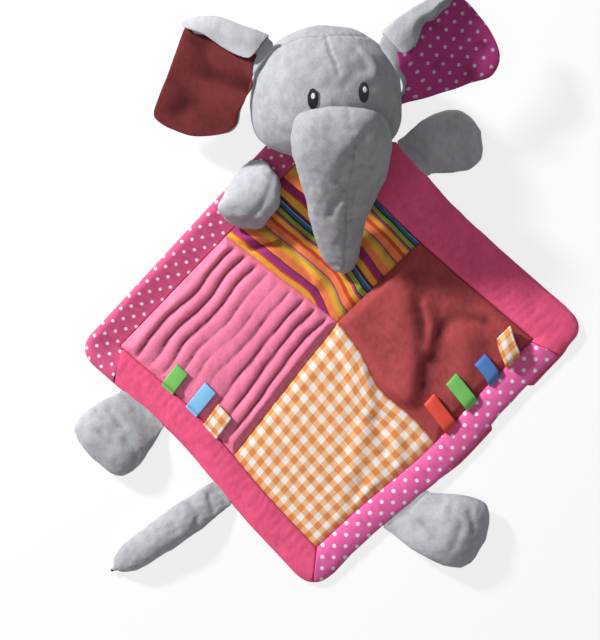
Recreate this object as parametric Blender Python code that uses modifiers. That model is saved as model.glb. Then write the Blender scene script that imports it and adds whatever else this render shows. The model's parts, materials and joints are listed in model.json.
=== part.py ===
"""Comfort blanket lovey: a flat patchwork blanket with a plush elephant's head, limbs, tail and ribbon tags.

The toy lies on its back. +X runs to the right as seen from above, +Y up to the head, +Z faces the viewer.
The origin is the middle of the blanket's underside. Lengths are metres.
"""

import math

import bmesh
import bpy
from mathutils import Matrix, Vector

# Driving dimensions of the blanket
BLANKET_WIDTH = 0.250
BACK_THICKNESS = 0.0014
PATCH_THICKNESS = 0.0014
BORDER_HEIGHT = 0.0050
BORDER_RIM = 0.0010
UPPER_LEFT_BORDER = 0.0210
LOWER_LEFT_BORDER = 0.0235
LOWER_RIGHT_BORDER = 0.0205
UPPER_RIGHT_BORDER = 0.0330
BACK_OVERHANG = 0.0035
CORNER_BLUNT = 0.0060
CORNER_ROUND = 0.0150

# Heights of the patches' folds
RIB_HEIGHT = 0.0028
STRIPE_FOLD = 0.0034
VELOUR_FOLD = 0.0062
GINGHAM_FOLD = 0.0024

# Driving dimensions of the stuffed pieces
SKIN = 0.0007
GAP = 0.0003
PAD_CLEARANCE = 0.0006
HEAD_WIDTH = 0.106
HEAD_LENGTH = 0.092
HEAD_DEPTH = 0.080
NECK_WIDTH = 0.080
TRUNK_LENGTH = 0.122
TRUNK_WIDTH = 0.066
EYE_WIDTH = 0.0072
EYE_HEIGHT = 0.0140
GLINT_WIDTH = 0.0030
GLINT_HEIGHT = 0.0044
THREAD = 0.0007
EAR_SPAN = 0.086
EAR_BACK = 0.0016
EAR_LINING = 0.0012
EAR_CUP = 0.0060
HOOD_FLARE = 0.0035
ARM_WIDTH = 0.048
ARM_THICKNESS = 0.024
LEFT_ARM_ROOT = 0.028
RIGHT_ARM_ROOT = 0.034
LEFT_ARM_LENGTH = 0.050
RIGHT_ARM_LENGTH = 0.051
LEG_WIDTH = 0.056
LEG_THICKNESS = 0.022
LEG_ROOT = 0.0415
LEFT_LEG_LENGTH = 0.050
RIGHT_LEG_LENGTH = 0.061
TAIL_LENGTH = 0.094
TAIL_WIDTH = 0.026
TAIL_THICKNESS = 0.0175
TAIL_ROOT = 0.0215
TAIL_KNOT = 0.0024
SEAM_THICKNESS = 0.0020
SEAM_TO_HINGE = 0.0018

# Driving dimensions of the ribbon tags
RIBBON_WIDTH = 0.0108
RIBBON_LENGTH = 0.0215
RIBBON_THICKNESS = 0.0005
RIBBON_SEAM_OPENING = 0.0004
RIBBON_LOOP_OPENING = 0.0016
RIBBON_TO_HINGE = 0.0008

# How finely each piece is divided
HEAD_SIDES = 24
TRUNK_SIDES = 16
LIMB_SIDES = 12
RIB_COUNT = 10
STEPS_PER_RIB = 4
BORDER_STEP = 0.0125
BORDER_PROFILE_STEPS = 6
EAR_COLUMNS = 8
EAR_ROWS = 6

# Worked out from the driving dimensions
HALF_DIAGONAL = BLANKET_WIDTH / math.sqrt(2)
PATCH_BASE = BACK_THICKNESS + GAP
PATCH_TOP = PATCH_BASE + PATCH_THICKNESS
BORDER_TOP = PATCH_BASE + BORDER_HEIGHT
HALF_SEAM = SEAM_THICKNESS / 2
SEAM_SWEEP = math.hypot(HALF_SEAM, SEAM_TO_HINGE)
PAD_DEPTH = SKIN + PAD_CLEARANCE
HEAD_RADII = Vector((HEAD_WIDTH / 2, HEAD_LENGTH / 2, HEAD_DEPTH / 2))

# The blanket's outer corners and inner points, as shares of its half diagonal
OUTER_SHARES = {
    "left": (-1.005, -0.066),
    "bottom": (-0.050, -1.035),
    "right": (1.060, 0.030),
    "top": (0.015, 1.035),
}
NECK_SHARE = 0.775
CENTRE_SHARES = (0.053, 0.049)
INNER_TOP_SHARE = -0.034

# Where the blanket is pulled out of square: place, push and reach, as shares of its half diagonal
PULL_SHARES = (
    ((-0.63, -0.44), (0.029, 0.028), 0.34),
    ((0.47, -0.52), (0.021, -0.022), 0.28),
    ((0.56, 0.50), (-0.018, -0.017), 0.45),
)
NECK_HOLD_SHARE = 0.25

# Where the patches' seams meet the borders, as shares of each inner edge, clockwise from the left corner
JOIN_SHARES = {"upper_left": 0.54, "upper_right": 0.49, "lower_left": 0.56, "lower_right": 0.525}

# How far the back panel shows past the lower right border, at even steps from the bottom corner
OVERHANG_SHARES = (0.0, 0.6, 0.0, 0.0, 1.0, 1.0, 0.4, 0.3, 0.0)

# Folds as ridges: start, end and width in shares of the half diagonal, height as a share of the patch's fold
STRIPE_RIDGE_SHARES = (
    ((-0.30, 0.40), (-0.08, 0.16), 0.045, 1.0),
    ((-0.16, 0.46), (-0.03, 0.22), 0.040, 0.8),
    ((0.25, 0.42), (0.14, 0.20), 0.050, 0.7),
)
VELOUR_RIDGE_SHARES = (
    ((0.26, 0.08), (0.325, -0.27), 0.050, 0.9),
    ((0.42, 0.13), (0.435, -0.20), 0.045, 1.0),
    ((0.51, 0.03), (0.54, -0.16), 0.055, 0.8),
    ((0.66, 0.00), (0.62, -0.10), 0.060, 0.4),
)
GINGHAM_RIDGE_SHARES = (
    ((0.14, -0.08), (0.36, -0.34), 0.060, 1.0),
    ((0.20, -0.30), (0.26, -0.52), 0.060, 0.6),
    ((-0.20, -0.42), (-0.02, -0.62), 0.080, 0.5),
)
RIDGE_EDGE_SHARE = 0.07

# Head: the angles of each ring's front and back points round the side view, and its width share
HEAD_RING_SHARES = (
    (205, -105, 0.80),
    (185, -100, 0.88),
    (165, -94, 0.95),
    (145, -88, 0.99),
    (125, -79, 1.00),
    (105, -69, 0.99),
    (85, -58, 0.945),
    (65, -46, 0.82),
    (46, -33, 0.63),
    (28, -20, 0.41),
    (12, -9, 0.185),
)
HEAD_REST_SHARE = 0.311

# Trunk: front and back points in plan and height, half width and sideways shift of each ring
TRUNK_RING_SHARES = (
    (-0.161, 0.783, -0.267, 0.433, 0.92, 0.136),
    (-0.139, 0.908, -0.325, 0.483, 0.96, 0.136),
    (-0.138, 0.995, -0.382, 0.433, 0.99, 0.138),
    (-0.202, 1.051, -0.435, 0.370, 1.01, 0.145),
    (-0.308, 1.039, -0.493, 0.308, 0.96, 0.158),
    (-0.419, 0.945, -0.566, 0.233, 0.87, 0.165),
    (-0.521, 0.808, -0.636, 0.158, 0.76, 0.155),
    (-0.620, 0.658, -0.718, 0.089, 0.64, 0.138),
    (-0.718, 0.495, -0.800, 0.039, 0.54, 0.132),
    (-0.816, 0.345, -0.870, 0.014, 0.455, 0.145),
    (-0.915, 0.208, -0.945, 0.003, 0.370, 0.168),
    (-0.984, 0.108, -0.992, 0.010, 0.210, 0.190),
)
TRUNK_TIP_SHARES = (-1.014, 0.055, 0.198)
TRUNK_HINGE_SHARES = (0.170, -0.357, 0.943)

# Eyes: their middles on the face, as shares of the head's half width and half length
LEFT_EYE_SHARES = (-0.177, -0.218)
RIGHT_EYE_SHARES = (0.453, -0.115)
GLINT_SHARES = (0.05, 0.12)

# Ears: the ends of the seam on the head, then the outline from the seam's middle, in shares of the span
LEFT_EAR_SEAM_SHARES = ((-0.84, 0.29), (-0.62, 0.64))
RIGHT_EAR_SEAM_SHARES = ((0.84, 0.29), (0.62, 0.64))
LEFT_EAR_SHARES = {
    "inner": ((0.306, -0.581, -0.256), (0.262, -0.279, -0.093)),
    "bottom": (0.620, -0.593, -0.395),
    "tip": (0.945, -0.430, -0.442),
    "outer": (0.760, -0.023, -0.326),
    "crown": (0.631, 0.302, -0.233),
    "top": (0.283, 0.244, -0.050),
}
RIGHT_EAR_SHARES = {
    "inner": ((0.130, -0.370, -0.350), (0.150, -0.250, -0.150)),
    "bottom": (0.480, -0.250, -0.290),
    "tip": (0.830, -0.140, -0.302),
    "outer": (0.890, 0.120, -0.233),
    "crown": (0.570, 0.500, -0.163),
    "top": (0.240, 0.360, -0.035),
}
EAR_FREE_SHARE = 0.08
HOOD_DEPTH_SHARES = (0.32, 0.27, 0.20, 0.13, 0.08)

# Limbs: along the length, the width and the thickness as shares of the full ones
ARM_RING_SHARES = (
    (0.14, 0.80, 0.36),
    (0.30, 0.94, 0.74),
    (0.50, 1.00, 1.00),
    (0.68, 0.98, 0.98),
    (0.84, 0.84, 0.80),
    (0.95, 0.52, 0.46),
)
LEG_RING_SHARES = (
    (0.14, 0.82, 0.36),
    (0.30, 0.91, 0.74),
    (0.50, 0.98, 1.00),
    (0.70, 0.99, 1.00),
    (0.86, 0.90, 0.80),
    (0.96, 0.64, 0.46),
)
TAIL_RING_SHARES = (
    (0.10, 0.90, 0.50),
    (0.28, 1.00, 0.92),
    (0.48, 0.96, 1.00),
    (0.68, 0.80, 0.86),
    (0.86, 0.62, 0.66),
    (0.96, 0.38, 0.36),
)
TURN_SHARE = 0.90

GREY = (0.47, 0.48, 0.51)
PINK_DOTTED = (0.83, 0.11, 0.35)
PINK_VELOUR = (0.82, 0.10, 0.23)
PINK_PLUSH = (0.82, 0.20, 0.34)
BURGUNDY = (0.47, 0.07, 0.08)
GINGHAM = (0.87, 0.40, 0.14)
STRIPES = (0.85, 0.36, 0.10)
STUFFING = (0.90, 0.90, 0.88)
BLACK = (0.01, 0.01, 0.012)
WHITE = (0.90, 0.90, 0.92)
GREEN = (0.15, 0.50, 0.10)
LIGHT_BLUE = (0.18, 0.50, 0.85)
RED = (0.75, 0.04, 0.03)
BLUE = (0.05, 0.16, 0.45)

# Ribbon tags: place along their seam, then length and width as shares of the full ribbon's
TAG_SHARES = {
    "tag_left_green": (0.227, 0.80, 1.0),
    "tag_left_light_blue": (0.343, 0.98, 1.0),
    "tag_left_gingham": (0.440, 0.80, 1.3),
    "tag_right_red": (0.597, 1.18, 1.0),
    "tag_right_green": (0.700, 1.08, 1.0),
    "tag_right_blue": (0.812, 0.86, 1.0),
    "tag_right_gingham": (0.900, 0.95, 1.2),
}

# Ribbon tags: seam, lean in degrees, colour and roughness
TAGS = {
    "tag_left_green": ("lower_left", 4, GREEN, 0.45),
    "tag_left_light_blue": ("lower_left", 5, LIGHT_BLUE, 0.45),
    "tag_left_gingham": ("lower_left", 12, GINGHAM, 0.8),
    "tag_right_red": ("lower_right", -10, RED, 0.45),
    "tag_right_green": ("lower_right", -9, GREEN, 0.45),
    "tag_right_blue": ("lower_right", -16, BLUE, 0.45),
    "tag_right_gingham": ("lower_right", -16, GINGHAM, 0.8),
}


def clear_scene():
    """Remove every object that the file holds."""
    for thing in list(bpy.data.objects):
        bpy.data.objects.remove(thing, do_unlink=True)


def new_collection(name):
    """A collection of its own under the scene's."""
    group = bpy.data.collections.new(name)
    bpy.context.scene.collection.children.link(group)
    return group


def cloth(name, colour, roughness=0.9):
    """A matt textile material of one colour."""
    material = bpy.data.materials.new(name)
    material.use_nodes = True
    shader = material.node_tree.nodes["Principled BSDF"]
    shader.inputs["Base Color"].default_value = (*colour, 1.0)
    shader.inputs["Roughness"].default_value = roughness
    shader.inputs["Metallic"].default_value = 0.0
    return material


def lerp(a, b, share):
    """The point or value at a share of the way from a to b."""
    return a + (b - a) * share


def plan(point, height=0.0):
    """A point of the plan lifted to a height."""
    return Vector((point[0], point[1], height))


def smooth(share):
    """An even step from 0 to 1 with level ends."""
    share = min(max(share, 0.0), 1.0)
    return share * share * (3 - 2 * share)


def bend_through(start, middle, end, share):
    """A smooth curve that passes its middle point half way."""
    return (
        start * (2 * share - 1) * (share - 1)
        + middle * 4 * share * (1 - share)
        + end * share * (2 * share - 1)
    )


def along(points, share):
    """The point at a share of a chain of straight steps, all given the same share."""
    steps = len(points) - 1
    place = min(max(share, 0.0), 1.0) * steps
    step = min(int(place), steps - 1)
    return lerp(points[step], points[step + 1], place - step)


def crossing(first, second):
    """Where two lines of the plan meet, each given by two points."""
    a, b = first
    c, d = second
    run, other = b - a, d - c
    share = (c - a).cross(other) / run.cross(other)
    return a + run * share


def outward(a, b):
    """The plan direction to the right of the way from a to b."""
    return Vector((b.y - a.y, a.x - b.x)).normalized()


def shifted(a, b, distance):
    """A line moved to its left by a distance."""
    inward = -outward(a, b) * distance
    return a + inward, b + inward


def inset(corners, distance):
    """An outline, anticlockwise, with each side moved inwards."""
    sides = [shifted(a, b, distance) for a, b in zip(corners, corners[1:] + corners[:1])]
    return [crossing(sides[step - 1], sides[step]) for step in range(len(sides))]


def blanket_plan():
    """The blanket's outer and inner corners, its middle and where its seams meet the borders."""
    outer = {name: Vector(shares) * HALF_DIAGONAL for name, shares in OUTER_SHARES.items()}
    neck = NECK_SHARE * HALF_DIAGONAL
    neck_line = (Vector((0, neck)), Vector((HALF_DIAGONAL, neck)))
    upper_left = shifted(outer["top"], outer["left"], UPPER_LEFT_BORDER)
    lower_left = shifted(outer["left"], outer["bottom"], LOWER_LEFT_BORDER)
    lower_right = shifted(outer["bottom"], outer["right"], LOWER_RIGHT_BORDER)
    upper_right = shifted(outer["right"], outer["top"], UPPER_RIGHT_BORDER)
    inner = {
        "left": crossing(upper_left, lower_left),
        "bottom": crossing(lower_left, lower_right),
        "right": crossing(lower_right, upper_right),
        "top": Vector((INNER_TOP_SHARE * HALF_DIAGONAL, neck)),
    }
    edges = {
        "upper_left": (inner["left"], inner["top"]),
        "upper_right": (inner["top"], inner["right"]),
        "lower_left": (inner["left"], inner["bottom"]),
        "lower_right": (inner["bottom"], inner["right"]),
    }
    outer_edges = {
        "upper_left": (crossing((outer["top"], outer["left"]), neck_line), outer["left"]),
        "lower_left": (outer["left"], outer["bottom"]),
        "lower_right": (outer["bottom"], outer["right"]),
        "upper_right": (outer["right"], crossing((outer["right"], outer["top"]), neck_line)),
    }
    return {
        "neck": neck,
        "outer": outer,
        "inner": inner,
        "inner_edges": edges,
        "outer_edges": outer_edges,
        "joins": {name: lerp(*edges[name], share) for name, share in JOIN_SHARES.items()},
        "middle": Vector(CENTRE_SHARES) * HALF_DIAGONAL,
    }


PLAN = blanket_plan()


def pulled(point):
    """A point of the blanket's plan, moved to where the cloth is pulled. The neck seam holds it."""
    hold = smooth((PLAN["neck"] - point[1]) / (NECK_HOLD_SHARE * HALF_DIAGONAL))
    spot = Vector(point[:2])
    push = Vector((0, 0))
    for place_shares, push_shares, reach_share in PULL_SHARES:
        away = (spot - Vector(place_shares) * HALF_DIAGONAL).length / (reach_share * HALF_DIAGONAL)
        push += Vector(push_shares) * HALF_DIAGONAL * math.exp(-away * away)
    return spot + push * hold


def seam_line(a, b, place_share, width):
    """The middle of a piece's seam on a pulled edge, its run and how far the edge bulges past it."""
    reach = width / 2 / (b - a).length
    line = [pulled(lerp(a, b, place_share + reach * step / 2)) for step in range(-2, 3)]
    run = (line[-1] - line[0]).normalized()
    side = Vector((run.y, -run.x))
    proud = max((point - line[0]).dot(side) for point in line)
    return (line[0] + line[-1]) / 2, run, proud


HEAD_MIDDLE = Vector((0, PLAN["neck"] + HEAD_REST_SHARE * HEAD_LENGTH, HEAD_DEPTH / 2))


def mesh_from(shape, name):
    """A mesh made from a bmesh, with its faces pointing out."""
    bmesh.ops.recalc_face_normals(shape, faces=shape.faces)
    mesh = bpy.data.meshes.new(name)
    shape.to_mesh(mesh)
    shape.free()
    return mesh


def place(name, mesh, material, group, pivot=None):
    """Put a mesh into the scene as a named object with its origin on its joint."""
    pivot = pivot or Vector((0, 0, 0))
    mesh.transform(Matrix.Translation(-pivot))
    mesh.materials.append(material)
    mesh.shade_smooth()
    piece = bpy.data.objects.new(name, mesh)
    piece.location = pivot
    group.objects.link(piece)
    return piece


def sheet_mesh(name, rows, flip=False, notch=None):
    """An open sheet through rows of points. From the notch's row on, its first column is cut away."""
    columns = len(rows[0]) - 1
    sheet = bmesh.new()
    bmesh.ops.create_grid(sheet, x_segments=columns, y_segments=len(rows) - 1, size=1)
    for vert, point in zip(sheet.verts, (point for row in rows for point in row)):
        vert.co = point
    if notch is not None:
        bare = [face for number, face in enumerate(sheet.faces) if number % columns == 0]
        bmesh.ops.delete(sheet, geom=bare[notch:], context="FACES")
    if flip:
        bmesh.ops.reverse_faces(sheet, faces=sheet.faces)
    mesh = bpy.data.meshes.new(name)
    sheet.to_mesh(mesh)
    sheet.free()
    return mesh


def thicken(piece, thickness):
    """Give an open sheet its thickness, away from its faces' side."""
    wall = piece.modifiers.new("thickness", "SOLIDIFY")
    wall.thickness = thickness
    wall.offset = -1
    return wall


def ring_of(shape, points):
    """Add a closed ring of points to a bmesh."""
    return [shape.verts.new(point) for point in points]


def band(shape, first, second):
    """Join two rings of as many points by a band of faces."""
    count = len(first)
    for step in range(count):
        after = (step + 1) % count
        shape.faces.new((first[step], first[after], second[after], second[step]))


def fan(shape, ring, tip):
    """Close a ring onto one point."""
    count = len(ring)
    for step in range(count):
        shape.faces.new((ring[step], ring[(step + 1) % count], tip))


def loft(shape, rings, tip):
    """A surface through rings of points that closes at its tip. The first ring stays open."""
    loops = [ring_of(shape, ring) for ring in rings]
    for first, second in zip(loops, loops[1:]):
        band(shape, first, second)
    fan(shape, loops[-1], shape.verts.new(tip))
    return loops[0]


def skin_mesh(name, outer, inner):
    """A sewn skin: an outer and an inner surface that meet round the open seam."""
    shape = bmesh.new()
    band(shape, loft(shape, *outer), loft(shape, *inner))
    return mesh_from(shape, name)


def pad_mesh(name, surface):
    """A closed stuffing pad, or a cutter, with a flat first end."""
    shape = bmesh.new()
    shape.faces.new(loft(shape, *surface))
    return mesh_from(shape, name)


def section(middle, across, up, half_width, half_height, sides):
    """A soft oval ring, flat with round ends where it is thin and a full oval where it is stuffed."""
    fullness = min(half_height / half_width * 2, 1.0)
    spare = max(half_width - half_height, 0.0)
    points = []
    for step in range(sides):
        angle = math.tau * step / sides
        side, lift = math.cos(angle), math.sin(angle)
        spread = math.copysign(abs(side) ** lerp(1 / 3, 1.0, fullness), side)
        reach = spare * spread + (half_width - spare) * side
        points.append(middle + across * reach + up * half_height * lift)
    return points


def head_surface(depth):
    """The head as rings, at a depth under its outer surface."""
    radii = HEAD_RADII - Vector((depth, depth, depth))
    across = Vector((1, 0, 0))
    lip = BORDER_TOP + GAP * 2 - HALF_SEAM / 4
    neck_half = (lip - GAP) / 2 + HALF_SEAM / 2
    mouth = Vector((0, PLAN["neck"] + 2 * GAP, neck_half + GAP))
    rings = [
        section(mouth, across, Vector((0, 0, 1)), NECK_WIDTH / 2 - depth, neck_half - depth, HEAD_SIDES)
    ]
    for front_angle, back_angle, width_share in HEAD_RING_SHARES:
        front, back = (
            HEAD_MIDDLE + Vector((0, radii.y * math.cos(angle), radii.z * math.sin(angle)))
            for angle in (math.radians(front_angle), math.radians(back_angle))
        )
        half = (front - back) / 2
        width = width_share * HEAD_RADII.x - depth
        rings.append(section((front + back) / 2, across, half.normalized(), width, half.length, HEAD_SIDES))
    return rings, HEAD_MIDDLE + Vector((0, radii.y, 0))


def on_head(side_share, up_share, lift=0.0):
    """A point at a height over the front of the head, and the way out from there."""
    rise_share = math.sqrt(1 - side_share**2 - up_share**2)
    shares = Vector((side_share, up_share, rise_share))
    out = Vector([share / radius for share, radius in zip(shares, HEAD_RADII)]).normalized()
    point = Vector([share * radius for share, radius in zip(shares, HEAD_RADII)])
    return HEAD_MIDDLE + point + out * lift, out


def trunk_surface(depth):
    """The trunk as rings, from inside the face down to the tip, at a depth under its surface."""
    floor = PATCH_TOP + STRIPE_FOLD + GAP * 3
    rings = []
    for front_y, front_z, back_y, back_z, width_share, shift_share in TRUNK_RING_SHARES:
        front, back = (
            Vector((shift_share * TRUNK_WIDTH, HEAD_MIDDLE.y + y * TRUNK_LENGTH, floor + z * HEAD_DEPTH))
            for y, z in ((front_y, front_z), (back_y, back_z))
        )
        half = (front - back) / 2
        width = width_share * TRUNK_WIDTH / 2 - depth
        middle = (front + back) / 2
        up = half.normalized()
        rings.append(section(middle, Vector((1, 0, 0)), up, width, half.length - depth, TRUNK_SIDES))
    tip_y, tip_z, tip_x = TRUNK_TIP_SHARES
    tip = plan((tip_x * TRUNK_WIDTH, HEAD_MIDDLE.y + tip_y * TRUNK_LENGTH + depth), floor + tip_z * HEAD_DEPTH)
    return rings, tip


def limb_surface(limb, depth, first=0):
    """A limb as rings from its seam to its tip, at a depth under its surface."""
    root, hinge, tip = limb["root"], limb["hinge"], limb["tip"]
    length = (tip - hinge).length
    seam_shares = (limb["root_width"] / limb["width"], SEAM_THICKNESS / limb["thickness"])
    table = [(None, *seam_shares), (0.0, *seam_shares), *limb["shares"]]
    seam_rise = limb["height"] - limb["lie"] - HALF_SEAM
    rings = []
    for share, width_share, thick_share in table[first:]:
        reach = (share or 0.0) * (length - depth) / length
        spot = root if share is None else lerp(hinge, tip, reach)
        turn = Matrix.Rotation(limb["lean"] * min(reach / TURN_SHARE, 1.0), 2)
        across = plan(turn @ limb["along_seam"])
        half_height = thick_share * limb["thickness"] / 2
        height = limb["lie"] + half_height + seam_rise * (1 - reach) ** 4
        half_width = width_share * limb["width"] / 2
        middle = plan(spot, height)
        up = Vector((0, 0, 1))
        rings.append(section(middle, across, up, half_width - depth, half_height - depth, LIMB_SIDES))
    end_height = limb["lie"] + limb["shares"][-1][2] * limb["thickness"] / 2
    return rings, plan(lerp(hinge, tip, (length - depth) / length), end_height)


def limb(edge, place_share, lean, length, root_width, width, thickness, shares, folded_over=False):
    """Where a limb is sewn to an outer edge of the blanket, and how it lies."""
    seam, run, proud = seam_line(*PLAN["outer_edges"][edge], place_share, root_width)
    out = Vector((run.y, -run.x))
    if folded_over:
        way, root, lie = -out, seam - out * SEAM_TO_HINGE, BORDER_TOP + GAP
        height = lie + SEAM_SWEEP
    else:
        way, root, lie = out, seam + out * (proud + GAP), 0.0
        height = PATCH_BASE + BORDER_HEIGHT / 3
    lean = math.radians(lean)
    hinge = root + way * SEAM_TO_HINGE
    return {
        "root": root,
        "hinge": hinge,
        "tip": hinge + Matrix.Rotation(lean, 2) @ way * (length - SEAM_TO_HINGE),
        "lean": lean,
        "along_seam": Vector((-way.y, way.x)),
        "root_width": root_width,
        "width": width,
        "thickness": thickness,
        "shares": shares,
        "height": height,
        "lie": lie,
        "pivot": plan(hinge, height),
        "axis": plan((way.y, -way.x)),
    }


ARM = (ARM_WIDTH, ARM_THICKNESS, ARM_RING_SHARES)
LEG = (LEG_ROOT, LEG_WIDTH, LEG_THICKNESS, LEG_RING_SHARES)
TAIL = (TAIL_ROOT, TAIL_WIDTH, TAIL_THICKNESS, TAIL_RING_SHARES)
LIMBS = {
    "arm_left": limb("upper_left", 0.088, -58, LEFT_ARM_LENGTH, LEFT_ARM_ROOT, *ARM, folded_over=True),
    "arm_right": limb("upper_right", 0.910, -22, RIGHT_ARM_LENGTH, RIGHT_ARM_ROOT, *ARM),
    "leg_left": limb("lower_left", 0.262, -5, LEFT_LEG_LENGTH, *LEG),
    "leg_right": limb("lower_right", 0.325, 30, RIGHT_LEG_LENGTH, *LEG),
    "tail": limb("lower_left", 0.604, -4, TAIL_LENGTH, *TAIL),
}


def build_limb(name, group, skin, stuffing):
    """A limb's sewn skin and the stuffing inside it."""
    shape = LIMBS[name]
    outer, inner = limb_surface(shape, 0.0), limb_surface(shape, SKIN)
    place(name + "_skin", skin_mesh(name, outer, inner), skin, group, shape["pivot"])
    pad = limb_surface(shape, PAD_DEPTH, first=2)
    place(name + "_stuffing", pad_mesh(name, pad), stuffing, group, shape["pivot"])


def build_tail_knot(group, thread):
    """The thread knot at the tail's tip."""
    shape = LIMBS["tail"]
    heading = (shape["tip"] - shape["hinge"]).normalized()
    spot = shape["tip"] + heading * (TAIL_KNOT / 2 + GAP)
    height = limb_surface(shape, 0.0)[1].z
    knot = bmesh.new()
    bmesh.ops.create_uvsphere(knot, u_segments=8, v_segments=6, radius=TAIL_KNOT / 2)
    bmesh.ops.translate(knot, verts=knot.verts, vec=plan(spot, height))
    place("tail_knot", mesh_from(knot, "tail_knot"), thread, group, shape["pivot"])


def ridge_lift(ridges, spot):
    """How high a patch's ridges lift one spot, as a share of its fold."""
    lift = 0.0
    for start, end, width, height in ridges:
        a, b = Vector(start) * HALF_DIAGONAL, Vector(end) * HALF_DIAGONAL
        run = b - a
        share = min(max((spot - a).dot(run) / run.length_squared, 0.0), 1.0)
        away = (spot - a - run * share).length / (width * HALF_DIAGONAL)
        lift = max(lift, height * math.exp(-away * away))
    return lift


def edge_fade(across, up):
    """Level at a patch's sewn edges and whole inside them."""
    nearest = min(across, 1 - across, up, 1 - up)
    return smooth(nearest / RIDGE_EDGE_SHARE)


def patch_spot(corners, across, up):
    """A point of a four-cornered patch."""
    return lerp(lerp(corners[0], corners[1], across), lerp(corners[3], corners[2], across), up)


def patch_fold(patch, across, up):
    """The lift of a patch's cloth at a point of it."""
    if patch["ribs"]:
        wave = abs(math.sin(math.pi * patch["ribs"] * up)) ** 0.7
        return patch["fold"] * wave * edge_fade(across, up)
    spot = patch_spot(patch["corners"], across, up)
    return patch["fold"] * ridge_lift(patch["ridges"], spot) * edge_fade(across, up)


def patch(corners, fold, columns, rows, ridges=(), ribs=0):
    """A patch's outline, anticlockwise, and its folds."""
    return {
        "corners": inset(corners, GAP / 2),
        "fold": fold,
        "columns": columns,
        "rows": rows,
        "ridges": ridges,
        "ribs": ribs,
    }


def blanket_patches():
    """The four patches of the blanket's front."""
    middle, inner, joins = PLAN["middle"], PLAN["inner"], PLAN["joins"]
    left = [joins["lower_left"], middle, joins["upper_left"], inner["left"]]
    top = [middle, joins["upper_right"], inner["top"], joins["upper_left"]]
    right = [middle, joins["lower_right"], inner["right"], joins["upper_right"]]
    bottom = [inner["bottom"], joins["lower_right"], middle, joins["lower_left"]]
    return {
        "patch_stripe": patch(top, STRIPE_FOLD, 11, 11, STRIPE_RIDGE_SHARES),
        "patch_velour": patch(right, VELOUR_FOLD, 13, 13, VELOUR_RIDGE_SHARES),
        "patch_gingham": patch(bottom, GINGHAM_FOLD, 9, 9, GINGHAM_RIDGE_SHARES),
        "patch_ribbed": patch(left, RIB_HEIGHT, 6, 1, ribs=RIB_COUNT),
    }


PATCHES = blanket_patches()


def build_patch(name, group, material):
    """One patch of cloth, lifted by its folds over the back panel."""
    shape = PATCHES[name]
    columns, rows = shape["columns"], shape["rows"]
    if shape["ribs"]:
        rows = shape["ribs"] * STEPS_PER_RIB
    grid = []
    for up in (row / rows for row in range(rows + 1)):
        line = []
        for across in (column / columns for column in range(columns + 1)):
            spot = pulled(patch_spot(shape["corners"], across, up))
            line.append(plan(spot, PATCH_TOP + patch_fold(shape, across, up)))
        grid.append(line)
    thicken(place(name, sheet_mesh(name, grid), material, group), PATCH_THICKNESS)


def blunted(a, b, inner_a, inner_b, share, sharp_ends):
    """A point of an outer edge that is drawn in along the mitre near its corners."""
    point = lerp(a, b, share)
    length = (b - a).length
    for corner, inner, distance, sharp in (
        (a, inner_a, share * length, sharp_ends[0]),
        (b, inner_b, (1 - share) * length, sharp_ends[1]),
    ):
        if not sharp and distance < CORNER_ROUND:
            pull = (1 - distance / CORNER_ROUND) ** 2
            point = point + (inner - corner).normalized() * CORNER_BLUNT * pull
    return point


def edge_steps(length):
    """Shares along an edge, closer together at its corners."""
    near = CORNER_ROUND / length
    ends = [near * step / 3 for step in range(4)]
    steps = math.ceil((length - 2 * CORNER_ROUND) / BORDER_STEP)
    inner = [lerp(near, 1 - near, step / steps) for step in range(1, steps)]
    return [*ends, *inner, *(1 - share for share in reversed(ends))]


def build_border(name, edge, corner_names, group, material):
    """A padded border strip with a flat underside and mitred ends."""
    a, b = PLAN["outer_edges"][edge]
    inner_a, inner_b = (PLAN["inner"][corner] for corner in corner_names)
    sharp_ends = [corner == "top" for corner in corner_names]
    a, b, inner_b, inner_a = inset([a, b, inner_b, inner_a], GAP / 2)
    profile = [step / BORDER_PROFILE_STEPS for step in range(BORDER_PROFILE_STEPS + 1)]
    strip = bmesh.new()
    loops = []
    for share in edge_steps((b - a).length):
        out = blunted(a, b, inner_a, inner_b, share, sharp_ends)
        back = lerp(inner_a, inner_b, share)
        points = [plan(pulled(out), PATCH_BASE)]
        for across in profile:
            dome = math.sqrt(max(1 - abs(2 * across - 1) ** 2.5, 0.0))
            height = PATCH_BASE + lerp(BORDER_RIM, BORDER_HEIGHT, dome)
            points.append(plan(pulled(lerp(out, back, across)), height))
        points.append(plan(pulled(back), PATCH_BASE))
        loops.append(ring_of(strip, points))
    for first, second in zip(loops, loops[1:]):
        band(strip, first, second)
    strip.faces.new(loops[0])
    strip.faces.new(loops[-1])
    place(name, mesh_from(strip, name), material, group)


def build_back_panel(group, material):
    """The flat back sheet, with the outline of the borders and what shows past them."""
    outline = []
    corner_pairs = {
        "lower_left": ("left", "bottom"),
        "lower_right": ("bottom", "right"),
        "upper_right": ("right", "top"),
        "upper_left": ("top", "left"),
    }
    for edge, corner_names in corner_pairs.items():
        a, b = PLAN["outer_edges"][edge]
        inner_a, inner_b = (PLAN["inner"][corner] for corner in corner_names)
        sharp_ends = [corner == "top" for corner in corner_names]
        shares = edge_steps((b - a).length)
        last = len(shares) if corner_names[1] == "top" else len(shares) - 1
        for share in shares[:last]:
            point = blunted(a, b, inner_a, inner_b, share, sharp_ends)
            if edge == "lower_right":
                point = point + outward(a, b) * BACK_OVERHANG * along(OVERHANG_SHARES, share)
            outline.append(plan(pulled(point), BACK_THICKNESS))
    sheet = bmesh.new()
    sheet.faces.new(ring_of(sheet, outline))
    mesh = bpy.data.meshes.new("back_panel")
    sheet.to_mesh(mesh)
    sheet.free()
    thicken(place("back_panel", mesh, material, group), BACK_THICKNESS)


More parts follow.
